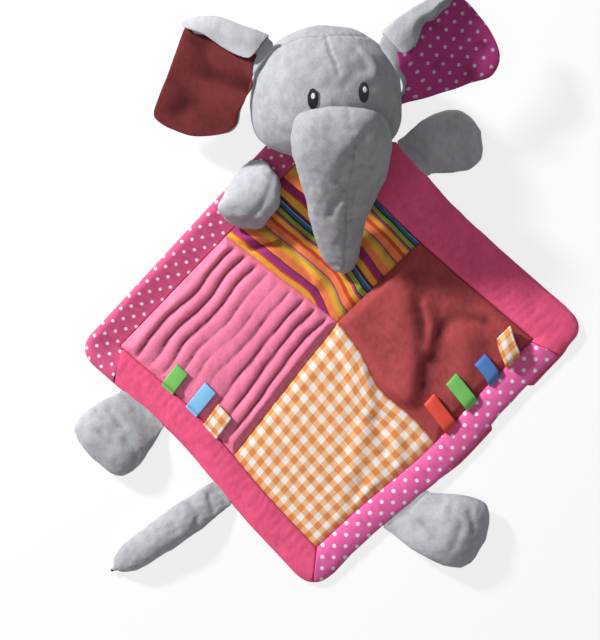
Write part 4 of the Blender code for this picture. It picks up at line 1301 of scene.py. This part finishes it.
# The head's seams, wrinkles and the fold beside its right eye
HEAD_SEAMS = (
    (
        (-0.0440, 0.1860, 0.0520), (-0.0320, 0.1942, 0.0586), (-0.0179, 0.1989, 0.0636),
        (-0.0012, 0.1997, 0.0662), (0.0156, 0.2009, 0.0620), (0.0300, 0.2020, 0.0540),
    ),
    (
        (-0.0006, 0.1992, 0.0668), (0.0007, 0.1930, 0.0715), (0.0026, 0.1855, 0.0757),
        (0.0052, 0.1800, 0.0769), (0.0071, 0.1718, 0.0787),
    ),
)
HEAD_WRINKLES = (
    (
        (-0.0212, 0.1814, 0.0732), (-0.0159, 0.1839, 0.0741), (-0.0100, 0.1829, 0.0758),
        (-0.0041, 0.1786, 0.0774),
    ),
    ((0.0152, 0.1859, 0.0737), (0.0199, 0.1885, 0.0707), (0.0245, 0.1838, 0.0711), (0.0258, 0.1769, 0.0727)),
    ((0.0191, 0.1760, 0.0750), (0.0150, 0.1700, 0.0778), (0.0117, 0.1650, 0.0786)),
)
HEAD_RIDGE = (
    (0.0227, 0.1895, 0.0687), (0.0285, 0.1856, 0.0687), (0.0316, 0.1787, 0.0690), (0.0312, 0.1716, 0.0715),
)

# The trunk's middle seam, its folds, and its hollows as a place, a shift and a reach
TRUNK_SEAM = (
    (0.0120, 0.1520, 0.0880), (0.0139, 0.1398, 0.0907), (0.0165, 0.1309, 0.0897), (0.0177, 0.1210, 0.0856),
    (0.0170, 0.1100, 0.0782), (0.0154, 0.0979, 0.0671), (0.0142, 0.0844, 0.0531),
    (0.0137, 0.0685, 0.0368), (0.0135, 0.0532, 0.0231), (0.0130, 0.0451, 0.0155),
)
TRUNK_FOLDS = (
    ((0.0193, 0.1235, 0.0867), (0.0231, 0.1298, 0.0882), (0.0284, 0.1353, 0.0858), (0.0347, 0.1409, 0.0789)),
    ((0.0060, 0.1015, 0.0709), (0.0091, 0.1088, 0.0777), (0.0148, 0.1167, 0.0836)),
    ((0.0164, 0.1076, 0.0761), (0.0230, 0.1102, 0.0769), (0.0311, 0.1094, 0.0719)),
    ((0.0025, 0.0813, 0.0496), (0.0070, 0.0893, 0.0590), (0.0121, 0.0954, 0.0651)),
    ((0.0195, 0.0968, 0.0651), (0.0178, 0.0875, 0.0557), (0.0176, 0.0769, 0.0439)),
)
TRUNK_HOLLOWS = (
    ((0.0246, 0.1043, 0.0704), (-0.0010, 0.0, -0.0030), 0.010),
    ((0.0204, 0.0907, 0.0580), (0.0, 0.0, -0.0020), 0.009),
    ((-0.0058, 0.0921, 0.0573), (-0.0006, 0.0004, 0.0010), 0.007),
)

# Where the head's rings are cast from, how far out, and how many there are, each with how many points
HEAD_HEART = Vector((0.0, 0.1630, 0.0390))
HEAD_REACH = 0.09
HEAD_RINGS, HEAD_SIDES = 62, 88


def make_head(material, swelling):
    """The head's stuffed skin, gathered at the neck."""
    tree = skin_tree("head_skin", "head_stuffing")
    loops = []
    for ring in range(1, HEAD_RINGS):
        turn = math.pi * ring / HEAD_RINGS
        loop = []
        for step in range(HEAD_SIDES):
            angle = math.tau * step / HEAD_SIDES
            way = Vector((math.sin(turn) * math.cos(angle), math.cos(turn), math.sin(turn) * math.sin(angle)))
            loop.append(hit(tree, HEAD_HEART, way, HEAD_REACH))
        loops.append(loop)
    crown, chin = (hit(tree, HEAD_HEART, Vector((0, way, 0)), HEAD_REACH) for way in (1, -1))
    shape = closed(eased(loops, 3), caps=False, tip=chin)
    crown_vert = shape.verts.new(crown)
    shape.verts.ensure_lookup_table()
    for step in range(HEAD_SIDES):
        shape.faces.new((shape.verts[step], shape.verts[(step + 1) % HEAD_SIDES], crown_vert))
    bmesh.ops.recalc_face_normals(shape, faces=shape.faces)
    piece = finished("head_plush", shape, material, None, "grey_plush", ("head_skin", "head_stuffing"))
    swell(piece, swelling, most=0.0010, pinned=lambda point: point.y < 0.1385)
    finer(piece)
    rumpled(piece, amount=0.0009, size=0.020, seed=1.0)
    creased(piece, HEAD_SEAMS, depth=0.0009, reach=0.0013, pucker=0.00018)
    creased(piece, HEAD_WRINKLES, depth=0.0008, reach=0.0040)
    creased(piece, [HEAD_RIDGE], depth=-0.0011, reach=0.0040)
    finer(piece)
    hollowed(piece, rounds=40)
    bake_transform(piece)
    return piece


def make_trunk(material, swelling):
    """The trunk, sewn to the face, with its seam down the middle."""
    tip = Vector((0.0131, HEAD_MIDDLE.y - 1.014 * TRUNK_LENGTH, TRUNK_FLOOR + 0.055 * HEAD_DEPTH))
    shape = closed(trunk_loops(), tip=tip)
    piece = finished("trunk_plush", shape, material, None, "grey_plush", ("trunk_skin", "trunk_stuffing"))
    swell(piece, swelling, most=0.0008, pinned=lambda point: point.y > 0.146)
    finer(piece)
    push_piece(piece, TRUNK_HOLLOWS)
    rumpled(piece, amount=0.0010, size=0.017, seed=6.0)
    creased(piece, TRUNK_FOLDS, depth=0.0014, reach=0.0036)
    creased(piece, [TRUNK_SEAM], depth=0.0010, reach=0.0013, pucker=0.00030, period=0.0068)
    finer(piece)
    hollowed(piece, rounds=40)
    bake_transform(piece)
    return piece


# Ribbon tags: root, run along the seam, way out, length, width and the height that the fold lies at
TAGS = {
    "tag_left_green": ((-0.1114, -0.0384), (0.7544, -0.6564), (0.6022, 0.7984), 0.0172, 0.0108, 0.0065),
    "tag_left_light_blue": ((-0.0943, -0.0541), (0.7137, -0.7005), (0.6356, 0.7720), 0.0211, 0.0108, 0.0065),
    "tag_left_gingham": ((-0.0809, -0.0682), (0.6683, -0.7439), (0.5887, 0.8084), 0.0172, 0.0140, 0.0065),
    "tag_right_red": ((0.0888, -0.0661), (0.6724, 0.7402), (-0.6122, 0.7907), 0.0254, 0.0108, 0.0081),
    "tag_right_green": ((0.1036, -0.0497), (0.6670, 0.7451), (-0.6316, 0.7753), 0.0232, 0.0108, 0.0084),
    "tag_right_blue": ((0.1198, -0.0321), (0.6938, 0.7202), (-0.5010, 0.8654), 0.0185, 0.0108, 0.0062),
    "tag_right_gingham": ((0.1330, -0.0188), (0.7108, 0.7034), (-0.4802, 0.8772), 0.0204, 0.0130, 0.0059),
}

# How far each tag's loop stands open, its lift off the cloth and its sideways lean
TAG_LOOPS = {
    "tag_left_green": (0.0016, 0.0000, 0.0),
    "tag_left_light_blue": (0.0018, 0.0004, 0.0),
    "tag_left_gingham": (0.0020, 0.0002, 0.0),
    "tag_right_red": (0.0018, 0.0000, 0.0),
    "tag_right_green": (0.0018, 0.0000, 0.0),
    "tag_right_blue": (0.0028, 0.0004, -0.0022),
    "tag_right_gingham": (0.0078, 0.0006, 0.0036),
}

# The heights of a ribbon's two ends in the seam and of the line that it turns about, how far the ends reach
# into the seam, and the ribbon's thickness
TAG_LOW, TAG_HIGH, TAG_HINGE, TAG_INSIDE = 0.0041, 0.0048, 0.0045, -0.0018
RIBBON_WALL = 0.00035

# How many faces a ribbon has along its fold and across it
TAG_STEPS, TAG_COLUMNS = 60, 14


def tag_fold(length, bottom, opening):
    """A folded ribbon from end to end round its loop: how far out and how high each point lies."""
    top, radius = bottom + opening, opening / 2
    end = length - 0.0005 - radius

    def half(seam, level):
        rises = ((0.0008, 0.5), (0.0022, 0.9), (length * 0.3, 1.0), (end, 1.0))
        return [(TAG_INSIDE, seam), (0.0, seam), *((out, lerp(seam, level, share)) for out, share in rises)]

    turns = [math.radians(angle) for angle in (-60, -30, 0, 30, 60)]
    loop = [(end + radius * math.cos(turn), bottom + radius + radius * math.sin(turn)) for turn in turns]
    knots = [Vector((*spot, 0)) for spot in (*half(TAG_LOW, bottom), *loop, *reversed(half(TAG_HIGH, top)))]
    return [through(knots, step / TAG_STEPS) for step in range(TAG_STEPS + 1)]


def make_tag(name, material, slot):
    """A ribbon folded in half with its ends in the seam."""
    root, run, way, length, width, lie = TAGS[name]
    root, run, way = Vector(root), Vector(run), Vector(way)
    opening, lift, lean = TAG_LOOPS[name]
    points = tag_fold(length, lie + lift + 0.0004, opening)
    lengths = [0.0]
    for a, b in zip(points, points[1:]):
        lengths.append(lengths[-1] + (b - a).length)
    rows, places = [], []
    for column in range(TAG_COLUMNS + 1):
        side = column / TAG_COLUMNS - 0.5
        row, marks = [], []
        for point, place in zip(points, lengths):
            out = point.x
            bow = 0.0003 * (1 - (2 * side) ** 2) * smooth(out / 0.006)
            wave = 0.0004 * ripple((out, side * width, len(name)), 0.008, 3.0) * smooth(out / 0.005)
            spot = root + run * (width * side + lean * (max(out, 0.0) / length) ** 2) + way * out
            row.append(Vector((*spot, point.y + bow + wave)))
            marks.append((side * width, place))
        rows.append(row)
        places.append(marks)
    shape = grid(rows, places)
    bmesh.ops.reverse_faces(shape, faces=shape.faces)
    bmesh.ops.recalc_face_normals(shape, faces=shape.faces)
    area = area_of(shape)
    piece = walled(name + "_ribbon", shape, RIBBON_WALL, material, None, slot, nodes=(name,))
    area / width
    start, end = (*(root - way * 0.0005), TAG_HINGE), (*(root + way * 0.0030), TAG_HINGE)
    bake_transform(piece)
    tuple(start)
    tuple(end)
    return piece


# Settings


class LoveyBlanketSettings(bpy.types.PropertyGroup):
    """Sizes of the blanket's cloth."""

    rib_height: bpy.props.FloatProperty(
        name="Rib height", description="How high the plush patch's ribs stand", default=0.0031, unit="LENGTH"
    )
    fold_depth: bpy.props.FloatProperty(
        name="Fold depth", description="How strongly the patches are folded", default=1.0, min=0.0, max=1.2
    )
    border_height: bpy.props.FloatProperty(
        name="Border height", description="How high the padded border stands", default=0.0050, unit="LENGTH"
    )
    check_size: bpy.props.FloatProperty(
        name="Check size", description="Side of one gingham check", default=0.0048, unit="LENGTH"
    )
    dot_spacing: bpy.props.FloatProperty(
        name="Dot spacing", description="Distance between the printed dots", default=0.0081, unit="LENGTH"
    )
    dot_size: bpy.props.FloatProperty(
        name="Dot size", description="Diameter of a printed dot", default=0.0028, unit="LENGTH"
    )
    pleats: bpy.props.FloatProperty(
        name="Border pleats", description="How deep the border is puckered", default=0.00035, unit="LENGTH"
    )


class LoveyPlushSettings(bpy.types.PropertyGroup):
    """The stuffed pieces."""

    grey: bpy.props.FloatVectorProperty(
        name="Plush colour", description="Colour of the elephant's plush", subtype="COLOR", default=GREY
    )
    pile: bpy.props.FloatProperty(
        name="Pile size", description="Size of one tuft of the pile", default=0.0011, unit="LENGTH"
    )
    swelling: bpy.props.FloatProperty(
        name="Stuffing pressure", description="How hard the stuffing presses", default=2.0, min=0.0
    )


class LoveyStageSettings(bpy.types.PropertyGroup):
    """The floor, lamps and camera."""

    lamp: bpy.props.FloatProperty(
        name="Lamp", description="Power of the lamp from the side", default=30.0, unit="POWER"
    )
    fill: bpy.props.FloatProperty(name="Fill", description="Strength of the even light", default=0.18)
    lens: bpy.props.FloatProperty(name="Lens", description="Focal length in millimetres", default=78.8)


# Operators

# How white the floor shows: 1 hides its shadows
FLOOR_GLOW = 0.78

# Each lamp's place, share of the lamp's power and size
LAMPS = {
    "lamp_key": ((-1.00, 0.80, 0.70), 1.0, 0.14),
    "lamp_soft": ((-0.30, -0.30, 1.60), 0.20, 1.2),
}
CAMERA_PLACE = (-0.0179, 0.010, 1.0)


def seen_rays(nodes):
    """1 for the rays that show a surface to the camera, straight or by way of gloss or glass."""
    rays = nodes.node("ShaderNodeLightPath").outputs
    kinds = ("Camera", "Glossy", "Transmission")
    camera, gloss, glass = (Value(nodes, rays[f"Is {kind} Ray"]) for kind in kinds)
    return camera.of("MAXIMUM", gloss).of("MAXIMUM", glass)


def shown_as(nodes, lit, shown, share, output):
    """What lights the toy, with what the camera sees mixed in by a share, fed to an output node."""
    mix = nodes.node("ShaderNodeMixShader", None, {0: share})
    nodes.tree.links.new(lit.outputs[0], mix.inputs[1])
    nodes.tree.links.new(shown.outputs[0], mix.inputs[2])
    end = next(node for node in nodes.tree.nodes if node.type == output)
    nodes.tree.links.new(mix.outputs[0], end.inputs["Surface"])


def even_world(fill):
    """A white backdrop that lights the toy softly."""
    world = bpy.data.worlds.new("even_light")
    world.use_nodes = True
    sky = Nodes(world.node_tree)
    light = world.node_tree.nodes["Background"]
    light.inputs["Strength"].default_value = fill
    light.inputs["Color"].default_value = (0.90, 0.95, 1.0, 1.0)
    backdrop = sky.node("ShaderNodeBackground", None, {"Color": (1.0, 1.0, 1.0), "Strength": 1.0})
    shown_as(sky, light, backdrop, seen_rays(sky), "OUTPUT_WORLD")
    return world


class LOVEY_OT_stage(bpy.types.Operator):
    """Add the pale floor, the soft lamps and the camera"""

    bl_idname = "lovey.stage"
    bl_label = "Stage"

    def execute(self, context):
        sizes = context.scene.lovey_stage
        bpy.ops.object.select_all(action="DESELECT")
        bpy.ops.mesh.primitive_plane_add(size=6.0, location=(0, 0, -0.0003))
        floor = context.object
        floor.name = "floor"
        finish = Finish("pale_floor", roughness=0.9, specular=0.1)
        finish.set("Base Color", (0.90, 0.90, 0.90))
        glow = finish.node("ShaderNodeEmission", None, {"Color": (1.0, 1.0, 1.0), "Strength": 1.0})
        shown_as(finish, finish.shader, glow, seen_rays(finish) * FLOOR_GLOW, "OUTPUT_MATERIAL")
        floor.data.materials.append(finish.material)
        for name, (place, power, size) in LAMPS.items():
            lamp = bpy.data.lights.new(name, "AREA")
            lamp.energy, lamp.size = sizes.lamp * power, size
            thing = bpy.data.objects.new(name, lamp)
            thing.location = place
            thing.rotation_euler = (Vector((0, 0, 0)) - Vector(place)).to_track_quat("-Z", "Y").to_euler()
            context.scene.collection.objects.link(thing)
        context.scene.world = even_world(sizes.fill)
        camera = bpy.data.cameras.new("camera")
        camera.lens, camera.sensor_fit = sizes.lens, "VERTICAL"
        camera.sensor_width = camera.sensor_height = 36.0
        camera.clip_start = 0.05
        thing = bpy.data.objects.new("camera", camera)
        thing.location = CAMERA_PLACE
        context.scene.collection.objects.link(thing)
        context.scene.camera = thing
        context.scene.view_settings.view_transform = "Standard"
        return {"FINISHED"}


class LOVEY_OT_patches(bpy.types.Operator):
    """Make the four patches of the blanket's front"""

    bl_idname = "lovey.patches"
    bl_label = "Patches"

    def execute(self, context):
        cloth = context.scene.lovey_blanket
        stripes = striped("striped_cotton", band_stops(), BAND_REPEAT)
        make_patch("patch_stripe", stripes, "striped_cotton", cloth)
        ribbed = plush("pink_ribbed_plush", PINK_PLUSH, deep=0.66, pile=0.0010, gain=0.65)
        make_patch("patch_ribbed", ribbed, "ribbed_plush", cloth)
        velour = plush("burgundy_velour", BURGUNDY, deep=0.60, pile=0.0007, gain=0.40)
        make_patch("patch_velour", velour, "burgundy_velour", cloth)
        make_patch("patch_gingham", gingham("orange_gingham", cloth.check_size), "gingham_cotton", cloth)
        return {"FINISHED"}


class LOVEY_OT_borders(bpy.types.Operator):
    """Make the padded border strips and the back panel"""

    bl_idname = "lovey.borders"
    bl_label = "Borders and back"

    def execute(self, context):
        cloth = context.scene.lovey_blanket
        spacing, size = cloth.dot_spacing, cloth.dot_size
        dots = dotted("dotted_cotton", PINK_DOTTED, DOT_WHITE, spacing, size)
        # The upper left border's dotted cotton, darkened as painted shade
        rolled = dotted("rolled_dotted_cotton_in_shade", PINK_DOTTED_IN_SHADE, DOT_WHITE, spacing * 0.92, size * 0.85)
        velour = plush("pink_velour", PINK_VELOUR, deep=0.72, pile=0.0007)
        runs = border_runs()
        for name, material, slot, pleats, crest in (
            ("border_upper_left", rolled, "dotted_cotton", 1.5, 0.24),
            ("border_lower_left", velour, "pink_velour", 0.5, 0.55),
            ("border_lower_right", dots, "dotted_cotton", 0.8, 0.55),
            ("border_upper_right", velour, "pink_velour", 0.6, 0.45),
        ):
            make_border(name, runs[name], material, slot, cloth, cloth.pleats * pleats, crest)
        # The back panel is the borders' pink velour darkened: painted shade
        make_back(runs, plush("back_velour", shade(PINK_VELOUR, 0.8), deep=0.7, pile=0.0008))
        return {"FINISHED"}


class LOVEY_OT_head(bpy.types.Operator):
    """Make the head and its embroidered eyes"""

    bl_idname = "lovey.head"
    bl_label = "Head and eyes"

    def execute(self, context):
        sizes = context.scene.lovey_plush
        grey = plush("grey_head_plush", tuple(sizes.grey), deep=0.66, pile=sizes.pile, gain=GREY_GAIN)
        make_head(grey, sizes.swelling)
        black, white = thread("black_floss", FLOSS_BLACK), thread("white_floss", FLOSS_WHITE)
        for side in ("left", "right"):
            refined(f"eye_{side}_floss", f"eye_{side}", black, "black_thread", "head")
            refined(f"eye_glint_{side}_floss", f"eye_glint_{side}", white, "white_thread", "head")
        return {"FINISHED"}


class LOVEY_OT_trunk(bpy.types.Operator):
    """Make the trunk"""

    bl_idname = "lovey.trunk"
    bl_label = "Trunk"

    def execute(self, context):
        sizes = context.scene.lovey_plush
        grey = plush("grey_trunk_plush", tuple(sizes.grey), deep=0.66, pile=sizes.pile, gain=GREY_GAIN)
        make_trunk(grey, sizes.swelling)
        return {"FINISHED"}


# Where each ear is shaped, as a place, a shift and a reach: both its layers filled out at the root, the
# back's hood puffed and its root pressed down, and the lining in front drawn to the root's edge
EAR_PUSHES = {
    "left": {
        "both": (
            ((-0.0640, 0.1660, 0.0480), (0.0075, -0.0045, 0.0), 0.0150),
            ((-0.0670, 0.1450, 0.0420), (0.0050, 0.0, 0.0), 0.0110),
        ),
        "back": (
            ((-0.0500, 0.1970, 0.0620), (0.0, 0.0, 0.0030), 0.0090),
            ((-0.0630, 0.2030, 0.0590), (0.0, -0.0020, 0.0038), 0.0100),
            ((-0.0770, 0.2080, 0.0540), (0.0, 0.0010, 0.0038), 0.0100),
            ((-0.0900, 0.2110, 0.0480), (0.0, -0.0010, 0.0030), 0.0090),
            ((-0.0690, 0.1480, 0.0430), (0.0, 0.0, -0.0026), 0.0110),
            ((-0.0580, 0.1700, 0.0520), (0.0, 0.0, -0.0026), 0.0110),
        ),
        "front": (
            ((-0.0710, 0.1440, 0.0400), (0.0045, 0.0, 0.0012), 0.0100),
            ((-0.0440, 0.1955, 0.0620), (0.0, 0.0, -0.0016), 0.0060),
            ((-0.0680, 0.1600, 0.0480), (0.0050, -0.0010, 0.0016), 0.0100),
            ((-0.0600, 0.1740, 0.0540), (0.0050, -0.0030, 0.0016), 0.0090),
        ),
    },
    "right": {
        "both": (((0.0540, 0.1620, 0.0340), (-0.0038, 0.0, 0.0), 0.0140),),
        "back": (
            ((0.0500, 0.1990, 0.0630), (0.0, 0.0, 0.0034), 0.0100),
            ((0.0620, 0.2090, 0.0610), (0.0, 0.0, 0.0038), 0.0100),
            ((0.0750, 0.2160, 0.0580), (0.0, 0.0, 0.0038), 0.0100),
            ((0.0880, 0.2230, 0.0540), (0.0, 0.0, 0.0030), 0.0100),
            ((0.0700, 0.2030, 0.0610), (-0.0050, 0.0050, 0.0), 0.0095),
            ((0.0840, 0.2130, 0.0590), (-0.0060, 0.0060, 0.0), 0.0095),
            ((0.0950, 0.2220, 0.0540), (-0.0060, 0.0060, 0.0), 0.0095),
            ((0.0560, 0.1640, 0.0380), (0.0010, 0.0, -0.0018), 0.0110),
        ),
        "front": (
            ((0.0570, 0.1580, 0.0330), (-0.0042, 0.0, 0.0012), 0.0090),
            ((0.0590, 0.1690, 0.0470), (-0.0040, -0.0010, 0.0014), 0.0090),
            ((0.0530, 0.1800, 0.0570), (-0.0040, -0.0020, 0.0014), 0.0080),
        ),
    },
}

# The right ear's dots: their distance and their diameter
EAR_DOTS = (0.0081, 0.0025)


class LOVEY_OT_ears(bpy.types.Operator):
    """Make both ears with their linings"""

    bl_idname = "lovey.ears"
    bl_label = "Ears"

    def execute(self, context):
        sizes = context.scene.lovey_plush
        # The ears' plush is the elephant's grey made lighter: painted light
        pale = shade(tuple(sizes.grey), 1.1)
        grey = plush("grey_ear_plush_lit", pale, deep=0.66, pile=sizes.pile, gain=GREY_GAIN)
        # The left ear's lining is the burgundy velour darkened: painted shade
        burgundy_in_shade = shade(BURGUNDY, 0.32)
        linings = {
            "left": (plush("burgundy_ear_velour_in_shade", burgundy_in_shade, deep=0.62, pile=0.0008), "burgundy_velour"),
            "right": (dotted("dotted_ear_cotton", PINK_SHADED, DOT_SHADED, *EAR_DOTS), "dotted_cotton"),
        }
        for side, (lining, slot) in linings.items():
            body = f"ear_{side}"
            soft = {"wobble": 0.0010, "size": 0.018}
            back = refined(f"ear_{side}_plush", f"ear_{side}_back", grey, "grey_plush", None, **soft)
            front = refined(f"ear_{side}_cloth", f"ear_{side}_lining", lining, slot, None, **soft)
            pivot = Vector(joint_of(body)["pos_m"])
            pushes = EAR_PUSHES[side]
            for piece, own, held in ((back, "back", "gathered"), (front, "front", "stretched")):
                push_piece(piece, pushes["both"] + pushes[own])
                hollowed(piece, rounds=12)
                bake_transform(piece)
        return {"FINISHED"}


class LOVEY_OT_limbs(bpy.types.Operator):
    """Make the arms, the legs and the tail"""

    bl_idname = "lovey.limbs"
    bl_label = "Arms, legs and tail"

    def execute(self, context):
        sizes = context.scene.lovey_plush
        # The limbs' plush is the elephant's grey made lighter: painted light
        pale = shade(tuple(sizes.grey), 1.15)
        grey = plush("grey_limb_plush_lit", pale, deep=0.64, pile=sizes.pile, gain=GREY_GAIN)
        for name in LIMBS:
            make_limb(name, grey, sizes.swelling)
        refined("tail_knot_thread", "tail_knot", thread("dark_thread", KNOT_GREY), "black_thread", "tail")
        return {"FINISHED"}


class LOVEY_OT_tags(bpy.types.Operator):
    """Make the folded ribbon tags"""

    bl_idname = "lovey.tags"
    bl_label = "Ribbon tags"

    def execute(self, context):
        checks = gingham("gingham_ribbon", RIBBON_CHECK)
        finishes = {
            "tag_left_green": (satin("green_satin", SATIN_GREEN), "green_satin"),
            "tag_left_light_blue": (satin("light_blue_satin", SATIN_LIGHT_BLUE), "light_blue_satin"),
            "tag_left_gingham": (checks, "gingham_cotton"),
            "tag_right_red": (satin("red_satin", SATIN_RED), "red_satin"),
            "tag_right_green": (satin("leaf_satin", SATIN_LEAF), "green_satin"),
            "tag_right_blue": (satin("blue_satin", SATIN_BLUE), "blue_satin"),
            "tag_right_gingham": (checks, "gingham_cotton"),
        }
        for name, (material, slot) in finishes.items():
            make_tag(name, material, slot)
        return {"FINISHED"}


class LOVEY_PT_panel(bpy.types.Panel):
    """The lovey's pieces and their sizes"""

    bl_label = "Comfort Blanket Lovey"
    bl_idname = "LOVEY_PT_panel"
    bl_space_type = "VIEW_3D"
    bl_region_type = "UI"
    bl_category = "Lovey"

    def draw(self, context):
        for group in ("lovey_stage", "lovey_blanket", "lovey_plush"):
            settings = getattr(context.scene, group)
            box = self.layout.box()
            for name in settings.__annotations__:
                box.prop(settings, name)
        for operator in OPERATORS:
            self.layout.operator(operator.bl_idname)


SETTINGS = {
    "lovey_blanket": LoveyBlanketSettings,
    "lovey_plush": LoveyPlushSettings,
    "lovey_stage": LoveyStageSettings,
}
OPERATORS = (
    LOVEY_OT_stage,
    LOVEY_OT_patches,
    LOVEY_OT_borders,
    LOVEY_OT_head,
    LOVEY_OT_trunk,
    LOVEY_OT_ears,
    LOVEY_OT_limbs,
    LOVEY_OT_tags,
)


def register():
    """Add the settings, the operators and the panel."""
    for group in (*SETTINGS.values(), *OPERATORS, LOVEY_PT_panel):
        bpy.utils.register_class(group)
    for name, group in SETTINGS.items():
        setattr(bpy.types.Scene, name, bpy.props.PointerProperty(type=group))


def unregister():
    """Take the settings, the operators and the panel away."""
    for name in SETTINGS:
        delattr(bpy.types.Scene, name)
    for group in reversed((*SETTINGS.values(), *OPERATORS, LOVEY_PT_panel)):
        bpy.utils.unregister_class(group)


def main():
    """Make the stage and every piece in order."""
    register()
    bpy.ops.lovey.stage()
    bpy.ops.lovey.patches()
    bpy.ops.lovey.borders()
    bpy.ops.lovey.head()
    bpy.ops.lovey.trunk()
    bpy.ops.lovey.ears()
    bpy.ops.lovey.limbs()
    bpy.ops.lovey.tags()


if __name__ == "__main__":
    main()
